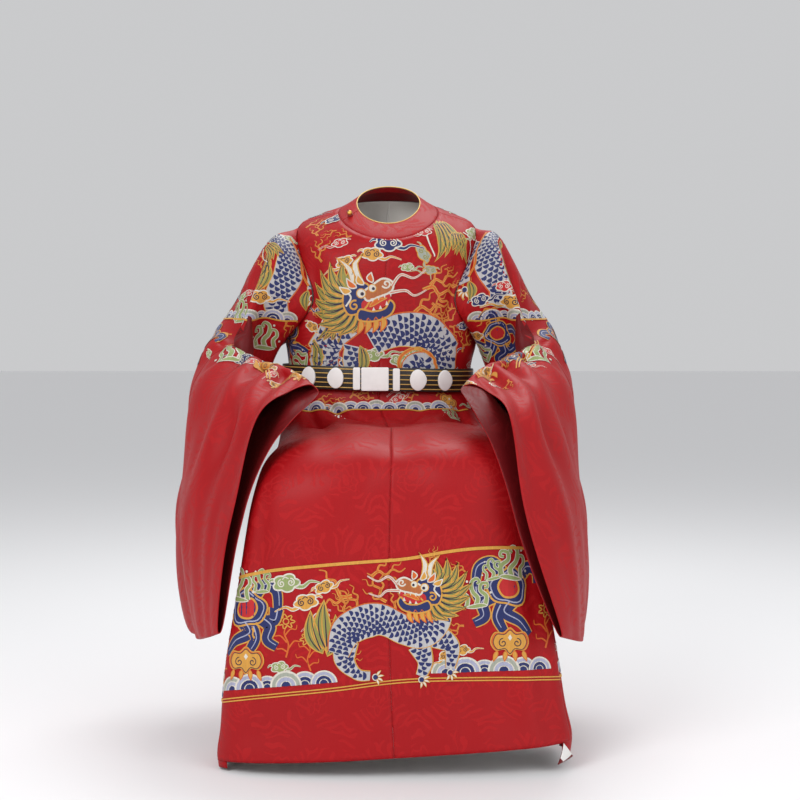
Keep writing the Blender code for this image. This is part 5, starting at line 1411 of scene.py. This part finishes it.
# The threads' look: each figure's silk keeps its own colour over the same fine twill.
def brocade(name):
    look, tree, shader = new_look(name)
    colour = tree.nodes.new("ShaderNodeAttribute")
    colour.attribute_name = "thread_colour"
    place = tree.nodes.new("ShaderNodeTexCoord").outputs["Object"]
    flat = tree.nodes.new("ShaderNodeMapping")
    put(flat.inputs["Vector"], place)
    flat.inputs["Rotation"].default_value = (math.radians(90), 0, 0)
    twill = place_group(tree, silk_twill, Vector=flat.outputs[0])
    shade = tree.nodes.new("ShaderNodeMix")
    shade.data_type, shade.blend_type = "RGBA", "MULTIPLY"
    shade.inputs[0].default_value = 1.0
    put(shade.inputs[6], colour.outputs["Color"])
    put(shade.inputs[7], ranged(tree, twill.outputs["Streak"], 0.72, 1.15))
    put(shader.inputs["Base Color"], shade.outputs[2])
    shader.inputs["Roughness"].default_value = 0.5
    shader.inputs["Sheen Weight"].default_value = 0.12
    shader.inputs["Specular IOR Level"].default_value = 0.35
    raised(tree, shader, twill.outputs["Height"], 0.00003)
    return look


brocade_silk = brocade("brocade_silk")
figures = {}
for name, shapes in woven.items():
    points, normals, faces, colours, count = [], [], [], [], 0
    for colour, own, own_faces, off, own_normals in shapes:
        kept = [face for face in own_faces if not any(off[k] for k in face)]
        if not kept:
            continue
        for face in kept:
            a, b, c = (own[k] for k in face[:3])
            facing = np.dot(np.cross(b - a, c - a), own_normals[face[0]])
            faces.append([k + count for k in (face if facing > 0 else face[::-1])])
        points.append(own)
        colours.append(np.tile((*SILKS[colour], 1.0), (len(own), 1)))
        count += len(own)
    if not faces:
        continue
    piece = mesh_object(f"figures_{name}", np.concatenate(points), faces, (brocade_silk,))
    layer = piece.data.color_attributes.new("thread_colour", "FLOAT_COLOR", "POINT")
    layer.data.foreach_set("color", np.concatenate(colours).astype(np.float32).ravel())
    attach(piece, "root")
    figures[name] = piece

# Fine lines that follow an edge: a cord along a path, and stitches set out along one. Both are made
# once as node trees, and each use gives them its path, thickness and thread.


def line_tree(name, stitched):
    tree = bpy.data.node_groups.new(name, "GeometryNodeTree")
    for label, kind in (("Path", "NodeSocketGeometry"), ("Radius", "NodeSocketFloat"), ("Spacing", "NodeSocketFloat"),
                        ("Length", "NodeSocketFloat"), ("Thread", "NodeSocketMaterial")):
        tree.interface.new_socket(label, in_out="INPUT", socket_type=kind)
    tree.interface.new_socket("Made", in_out="OUTPUT", socket_type="NodeSocketGeometry")
    given, result = tree.nodes.new("NodeGroupInput"), tree.nodes.new("NodeGroupOutput")
    path = tree.nodes.new("GeometryNodeMeshToCurve")
    put(path.inputs["Mesh"], given.outputs["Path"])
    if stitched:
        spaced = tree.nodes.new("GeometryNodeResampleCurve")
        spaced.mode = "LENGTH"
        put(spaced.inputs["Curve"], path.outputs[0])
        put(spaced.inputs["Length"], given.outputs["Spacing"])
        along = tree.nodes.new("GeometryNodeInputTangent")
        facing = tree.nodes.new("FunctionNodeAlignEulerToVector")
        facing.axis = "Z"
        put(facing.inputs["Vector"], along.outputs[0])
        stitch = tree.nodes.new("GeometryNodeMeshCylinder")
        stitch.inputs["Vertices"].default_value = 6
        put(stitch.inputs["Radius"], given.outputs["Radius"])
        put(stitch.inputs["Depth"], given.outputs["Length"])
        spread = tree.nodes.new("GeometryNodeInstanceOnPoints")
        put(spread.inputs["Points"], spaced.outputs[0])
        put(spread.inputs["Instance"], stitch.outputs["Mesh"])
        put(spread.inputs["Rotation"], facing.outputs[0])
        made = spread.outputs[0]
    else:
        round_line = tree.nodes.new("GeometryNodeCurvePrimitiveCircle")
        round_line.inputs["Resolution"].default_value = 8
        put(round_line.inputs["Radius"], given.outputs["Radius"])
        swept = tree.nodes.new("GeometryNodeCurveToMesh")
        put(swept.inputs["Curve"], path.outputs[0])
        put(swept.inputs["Profile Curve"], round_line.outputs[0])
        made = swept.outputs[0]
    real = tree.nodes.new("GeometryNodeRealizeInstances")
    put(real.inputs[0], made)
    dyed = tree.nodes.new("GeometryNodeSetMaterial")
    put(dyed.inputs["Geometry"], real.outputs[0])
    put(dyed.inputs["Material"], given.outputs["Thread"])
    put(result.inputs[0], dyed.outputs[0])
    return tree


cord_tree, stitch_tree = line_tree("cord_along", False), line_tree("stitches_along", True)


def along_paths(name, tree, paths, thread, radius, spacing=0.0, length=0.0, closed=False):
    """A plain mesh made by a node tree along one or more paths of points."""
    points, edges = [], []
    for path in paths:
        start, count = len(points), len(path)
        points += [tuple(point) for point in path]
        edges += [(start + k, start + k + 1) for k in range(count - 1)]
        edges += [(start + count - 1, start)] if closed else []
    guide = bpy.data.objects.new(name, bpy.data.meshes.new(name))
    guide.data.from_pydata(points, edges, [])
    scene.collection.objects.link(guide)
    maker = guide.modifiers.new("line", "NODES")
    maker.node_group = tree
    values = {"Radius": radius, "Spacing": spacing, "Length": length, "Thread": thread}
    for item in tree.interface.items_tree:
        if item.in_out == "INPUT" and item.name in values:
            maker[item.identifier] = values[item.name]
    evaluated = guide.evaluated_get(bpy.context.evaluated_depsgraph_get())
    mesh = bpy.data.meshes.new_from_object(evaluated)
    guide.modifiers.clear()
    guide.data = mesh
    mesh.shade_smooth()
    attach(guide, "root")
    return guide


UNEVEN = 0.86


def plain_look(name, colour, roughness, metallic=0.0, specular=0.5, grain=None):
    """One colour, a little uneven, with a fine grain where it has one."""
    look, tree, shader = new_look(name)
    darker = tuple(value * UNEVEN for value in colour)
    put(shader.inputs["Base Color"], mixed(tree, clouded(tree, 60.0), darker, colour))
    shader.inputs["Roughness"].default_value = roughness
    shader.inputs["Metallic"].default_value = metallic
    shader.inputs["Specular IOR Level"].default_value = specular
    if grain:
        raised(tree, shader, clouded(tree, grain[0], 4.0), grain[1])
    return look


gold_thread = plain_look("gold_thread", (0.80, 0.50, 0.12), 0.40, 0.15)
red_thread = plain_look("red_thread", (0.24, 0.006, 0.010), 0.6)
dark_thread = plain_look("dark_thread", (0.03, 0.008, 0.012), 0.6)

# The round collar: a plain red satin band sewn to the neck, stiffened inside, with its inner edge
# corded in gold thread over a dark one and its outer edge sewn down.
COLLAR_END, COLLAR_THICK, COLLAR_BULGE = -67.5, 0.0030, 0.0006
PIPING, PIPING_UNDER = 0.0011, 0.0007
collar_rows = np.linspace(0.0, SEAM_ROW, 13)[:, None]
collar_angles = (COLLAR_END + np.linspace(0.15, 359.85, 241))[None, :]
collar_rows, collar_angles = np.broadcast_arrays(collar_rows, collar_angles)
face, out = body(collar_rows, collar_angles), body_normal(collar_rows, collar_angles, body)
bulge = COLLAR_BULGE * (np.sin(np.pi * collar_rows) ** 0.35 - 1.0)
collar_face = face + out * bulge[..., None]
collar_sheet = Sheet("collar", collar_face, (collar_rows, collar_angles))
collar_sheet.normals = out
WALL_BEFORE, WALL = WALL, COLLAR_THICK - COLLAR_BULGE
collar = cloth_piece("collar", collar_sheet, np.arange(13), np.arange(241), red_silk, "collar_band")
WALL = WALL_BEFORE

inner_edge = collar_face[0] + out[0] * 0.0002 + unit(collar_face[0] - collar_face[1]) * PIPING * 0.3
piping = along_paths("collar_piping", cord_tree, [inner_edge], gold_thread, PIPING)
under = collar_face[0] + out[0] * -0.0016 + unit(collar_face[0] - collar_face[1]) * PIPING_UNDER * 0.3
dark_cord = along_paths("collar_dark_cord", cord_tree, [under], dark_thread, PIPING_UNDER)
sewn_row = collar_face[-2] + out[-2] * 0.0001
sewing = along_paths("collar_stitches", stitch_tree, [sewn_row], red_thread, 0.00022, 0.0036, 0.0024)

# The belt: a stiff hoop covered in black leather, with five gold lines pressed along its face.
BELT_MID_Z, BELT_WIDTH, BELT_THICK = 0.675, 0.047, 0.0035
BELT_FRONT_Y, BELT_BACK_Y, BELT_HALF, BELT_SQUARE = -0.166, 0.136, 0.199, 2.25
BELT_MID_X, BELT_SLOPE, BELT_CORNER = -0.030, 0.026, 0.0012
BELT_LINES = (-0.0186, -0.0093, 0.0, 0.0093, 0.0186)


def belt_line(turn):
    """The belt's middle line at its outer face, at turns in degrees from the front."""
    side, ahead = np.sin(np.radians(turn)), np.cos(np.radians(turn))
    reach = (np.abs(side) ** BELT_SQUARE + np.abs(ahead) ** BELT_SQUARE) ** (-1 / BELT_SQUARE)
    x = BELT_MID_X + BELT_HALF * reach * side
    y = (BELT_FRONT_Y + BELT_BACK_Y) / 2 + (BELT_FRONT_Y - BELT_BACK_Y) / 2 * reach * ahead
    return np.stack([x, y, BELT_MID_Z - HELD_HEIGHT - BELT_SLOPE * x], axis=-1)


def belt_out(turn):
    ahead = unit(belt_line(turn + 0.5) - belt_line(turn - 0.5))
    return np.stack([ahead[..., 1], -ahead[..., 0], 0 * ahead[..., 0]], axis=-1)


turns = np.linspace(0, 360, 240, endpoint=False)
middle, out = belt_line(turns), belt_out(turns)
corners = []
for across, up, start in ((0, 1, 0), (1, 1, 90), (1, -1, 180), (0, -1, 270)):
    for angle in np.radians(np.linspace(start, start + 90, 4)):
        depth = BELT_CORNER if not across else BELT_THICK - BELT_CORNER
        height = up * (BELT_WIDTH / 2 - BELT_CORNER)
        corners.append((depth - BELT_CORNER * math.cos(angle), height + BELT_CORNER * math.sin(angle)))
loops = [middle - out * depth + np.array((0, 0, height)) for depth, height in corners]
count, rounds = len(turns), len(loops)
faces = [(r * count + k, r * count + (k + 1) % count, (r + 1) % rounds * count + (k + 1) % count,
          (r + 1) % rounds * count + k) for r in range(rounds) for k in range(count)]
black_leather = plain_look("black_leather", (0.020, 0.016, 0.013), 0.42, grain=(900.0, 0.00008))
strap = mesh_object("belt", np.concatenate(loops), faces, (black_leather,))
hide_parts("belt_strap")
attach(strap, "root")
drawn = [middle + out * 0.0001 + np.array((0, 0, height)) for height in BELT_LINES]
lines = along_paths("belt_lines", cord_tree, drawn, gold_thread, 0.0009, closed=True)

# The belt's plates: pale stone-like plates with rounded edges, pinned to the strap by hidden studs.
PLATE_THICK, PLATE_GAP, PLATE_EDGE = 0.0050, 0.0003, 0.0011
PLATES = (  # name, along the belt, width, height, corner (m)
    ("plate_centre", -0.004, 0.0550, 0.0470, 0.003), ("plate_bar_right", -0.0405, 0.0145, 0.0450, 0.003),
    ("plate_bar_left", 0.0385, 0.0140, 0.0450, 0.003),
)
PEACHES = (  # name, along the belt, width, height, which way its point is
    ("plate_peach_right", -0.083, 0.034, 0.042, -1), ("plate_peach_left", 0.082, 0.035, 0.043, 1),
    ("plate_peach_far_right", -0.143, 0.034, 0.042, -1), ("plate_peach_far_left", 0.141, 0.034, 0.042, 1),
)
pale_stone = plain_look("pale_stone", (0.95, 0.95, 0.93), 0.24, specular=0.5)


def plate(name, along, outline, bulge):
    """A plate of the given outline with a rounded rim and a slightly domed face."""
    turns = np.linspace(-170, 170, 1361)
    run = lengths_along(belt_line(turns), 0)
    turn = np.interp(along, run - np.interp(0, turns, run), turns)
    here, out = belt_line(turn), belt_out(turn)
    ahead = np.array((-out[1], out[0], 0.0))
    outline = np.asarray(outline)
    size = np.abs(outline).max()
    rings = [(1.0, PLATE_GAP)]
    for angle in np.linspace(0, math.pi / 2, 5):
        inset = PLATE_EDGE * (1 - math.cos(angle))
        rings.append((1 - inset / size, PLATE_GAP + PLATE_THICK - bulge - PLATE_EDGE * (1 - math.sin(angle))))
    rings += [(share, PLATE_GAP + PLATE_THICK - bulge * share**2) for share in (0.8, 0.55, 0.3)]
    points = [here + ahead * x * scale + np.array((0, 0, y * scale)) + out * lift for scale, lift in rings for x, y in outline]
    points.append(here + out * (PLATE_GAP + PLATE_THICK))
    m = len(outline)
    faces = [tuple(range(m))[::-1]]
    for r in range(len(rings) - 1):
        faces += [(r * m + k, r * m + (k + 1) % m, (r + 1) * m + (k + 1) % m, (r + 1) * m + k) for k in range(m)]
    faces += [((len(rings) - 1) * m + k, (len(rings) - 1) * m + (k + 1) % m, len(points) - 1) for k in range(m)]
    made = mesh_object(f"fine_{name}", points, faces, (pale_stone,))
    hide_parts(name)
    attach(made, "root")


for name, along, width, height, corner in PLATES:
    outline = []
    for quarter, (x, y) in enumerate(((1, 1), (-1, 1), (-1, -1), (1, -1))):
        for angle in np.linspace(0, math.pi / 2, 6) + quarter * math.pi / 2:
            outline.append((x * (width / 2 - corner) + corner * math.cos(angle), y * (height / 2 - corner) + corner * math.sin(angle)))
    plate(name, along, outline, 0.0002)
for name, along, width, height, point in PEACHES:
    outline = []
    for angle in np.linspace(0, math.tau, 48, endpoint=False):
        pointed = 0.12 * max(math.cos(angle), 0) ** 6
        outline.append((point * width / 2 * (math.cos(angle) * 0.94 + pointed), height / 2 * math.sin(angle)))
    plate(name, along, outline[:: point], 0.0010)

# The bead button and the cord loop round its neck, which close the collar at the wearer's right.
BEAD_ROW, BEAD_RADIUS, BEAD_LIFT, BEAD_NECK = 0.55, 0.0052, 0.0066, 0.0018
LOOP_RADIUS, LOOP_CORD, LOOP_LENGTH, LOOP_LIFT = 0.0046, 0.0012, 0.024, 0.0018
BEAD_GAP = 0.0003


def collar_spot(row, angle, lift=0.0):
    return body(row, angle) + body_normal(row, angle, body) * np.asarray(lift)[..., None]


here, out = collar_spot(BEAD_ROW, COLLAR_END), body_normal(BEAD_ROW, COLLAR_END, body)
ahead = unit(collar_spot(BEAD_ROW, COLLAR_END + 2) - collar_spot(BEAD_ROW, COLLAR_END - 2))
side = np.cross(out, ahead)
profile = [(BEAD_NECK, BEAD_GAP)]
for angle in np.linspace(math.asin(BEAD_NECK / BEAD_RADIUS), math.pi - 0.08, 16):
    profile.append((BEAD_RADIUS * math.sin(angle), BEAD_LIFT - BEAD_RADIUS * math.cos(angle)))
around = np.linspace(0, math.tau, 32, endpoint=False)
points = [here + out * lift + (ahead * math.cos(a) + side * math.sin(a)) * radius for radius, lift in profile for a in around]
points += [here + out * BEAD_GAP, here + out * (BEAD_LIFT + BEAD_RADIUS)]
m, last = len(around), len(profile) - 1
faces = [(r * m + k, r * m + (k + 1) % m, (r + 1) * m + (k + 1) % m, (r + 1) * m + k) for r in range(last) for k in range(m)]
faces += [(len(points) - 2, (k + 1) % m, k) for k in range(m)]
faces += [(len(points) - 1, last * m + k, last * m + (k + 1) % m) for k in range(m)]
gilt = plain_look("gilt_bead", (0.72, 0.42, 0.09), 0.28, 0.85)
bead = mesh_object("bead", points, faces, (gilt,))
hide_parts("collar_button")
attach(bead, "root")

turn = np.radians(np.linspace(-145, 145, 25))
along, across = list(LOOP_RADIUS * np.cos(turn)), list(LOOP_RADIUS * np.sin(turn))
for way, shares in ((1, np.linspace(0.3, 1, 8)), (-1, np.linspace(1, 0.3, 8))):
    for share in shares:
        along.append(-LOOP_LENGTH * share)
        across.append(way * LOOP_CORD * 1.35)
per_degree = collar_spot(BEAD_ROW, COLLAR_END + 1) - here
per_row = (collar_spot(BEAD_ROW + 0.1, COLLAR_END) - here) * 10
spread = np.array(((per_degree @ ahead, per_row @ ahead), (per_degree @ side, per_row @ side)))
angles, rows = np.linalg.solve(spread, np.array((along, across)))
path = collar_spot(BEAD_ROW + rows, COLLAR_END + angles, LOOP_LIFT)
loop = along_paths("loop", cord_tree, [path], red_thread, LOOP_CORD, closed=True)
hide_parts("collar_loop")

# The longer left flap's lower corner has folded back on itself, which shows its white lining and a
# strip of its red facing.
CORNER_OUT, CORNER_ROLL, CORNER_STEPS = 0.0035, 0.0030, 14
CORNER = (  # how far back from the flap's front edge, how far up from its hem, for the fold and the tip
    (0.000, 0.034), (0.030, 0.004), (-0.018, 0.000),
)
flap = sheets["flap_left"]
edge_point = flap.points[-1, 0]
toward = unit(flap.points[-1, 2] - flap.points[-1, 0])
rising = np.array((0.0, 0.0, 1.0))
outward = flap.normals[-3, 1]
spots = [edge_point + toward * x + rising * z + outward * CORNER_OUT for x, z in CORNER]
grid = []
for s_ in np.linspace(0, 1, CORNER_STEPS):
    start, end = spots[0] + (spots[2] - spots[0]) * s_, spots[1] + (spots[2] - spots[1]) * s_
    line = []
    for t in np.linspace(0, 1, CORNER_STEPS):
        lift = CORNER_ROLL * math.sin(math.pi * (0.15 + 0.7 * s_)) + 0.0012 * math.sin(math.pi * t)
        line.append(start + (end - start) * t * (1 - 0.0) + outward * lift)
    grid.append(line)
grid = np.array(grid)
n = m = CORNER_STEPS
front_face = [(r * m + c, r * m + c + 1, (r + 1) * m + c + 1, (r + 1) * m + c) for r in range(n - 1) for c in range(m - 1)]
if np.dot(np.cross(grid[0, 1] - grid[0, 0], grid[1, 0] - grid[0, 0]), outward) < 0:
    front_face = [face[::-1] for face in front_face]
behind = (grid - outward * 0.0009).reshape(-1, 3)
border = [c for c in range(m)] + [r * m + m - 1 for r in range(1, n)] + [(n - 1) * m + c for c in range(m - 2, -1, -1)] + [r * m for r in range(n - 2, 0, -1)]
faces = front_face + [tuple(k + n * m for k in face[::-1]) for face in front_face]
slots = [1 if face[0] // m >= n - 4 or min(face) % m >= m - 3 else 0 for face in front_face] + [1] * len(front_face)
flip = 1 if front_face[0][0] == 0 and front_face[0][1] == 1 else -1
for a, b in zip(border, border[1:] + border[:1]):
    faces.append((b, a, a + n * m, b + n * m)[::flip])
    slots.append(1)
white_lining = plain_look("white_lining", (0.86, 0.85, 0.82), 0.6, specular=0.3)
corner_piece = mesh_object("turned_corner", np.concatenate([grid.reshape(-1, 3), behind]), faces, (white_lining, shaded_red_facing), slots)
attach(corner_piece, "root")

# For each panel, with the size that it is cut to, the figures that lie on it are gathered, and nothing more is done
# with them.
for piece, cut_size, cut_area, held, hung_from, sheet_name in panels:
    lying = [figures[sheet_name]] if sheet_name in figures else []
    if sheet_name == "flap_left":
        lying.append(corner_piece)

low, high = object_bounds()
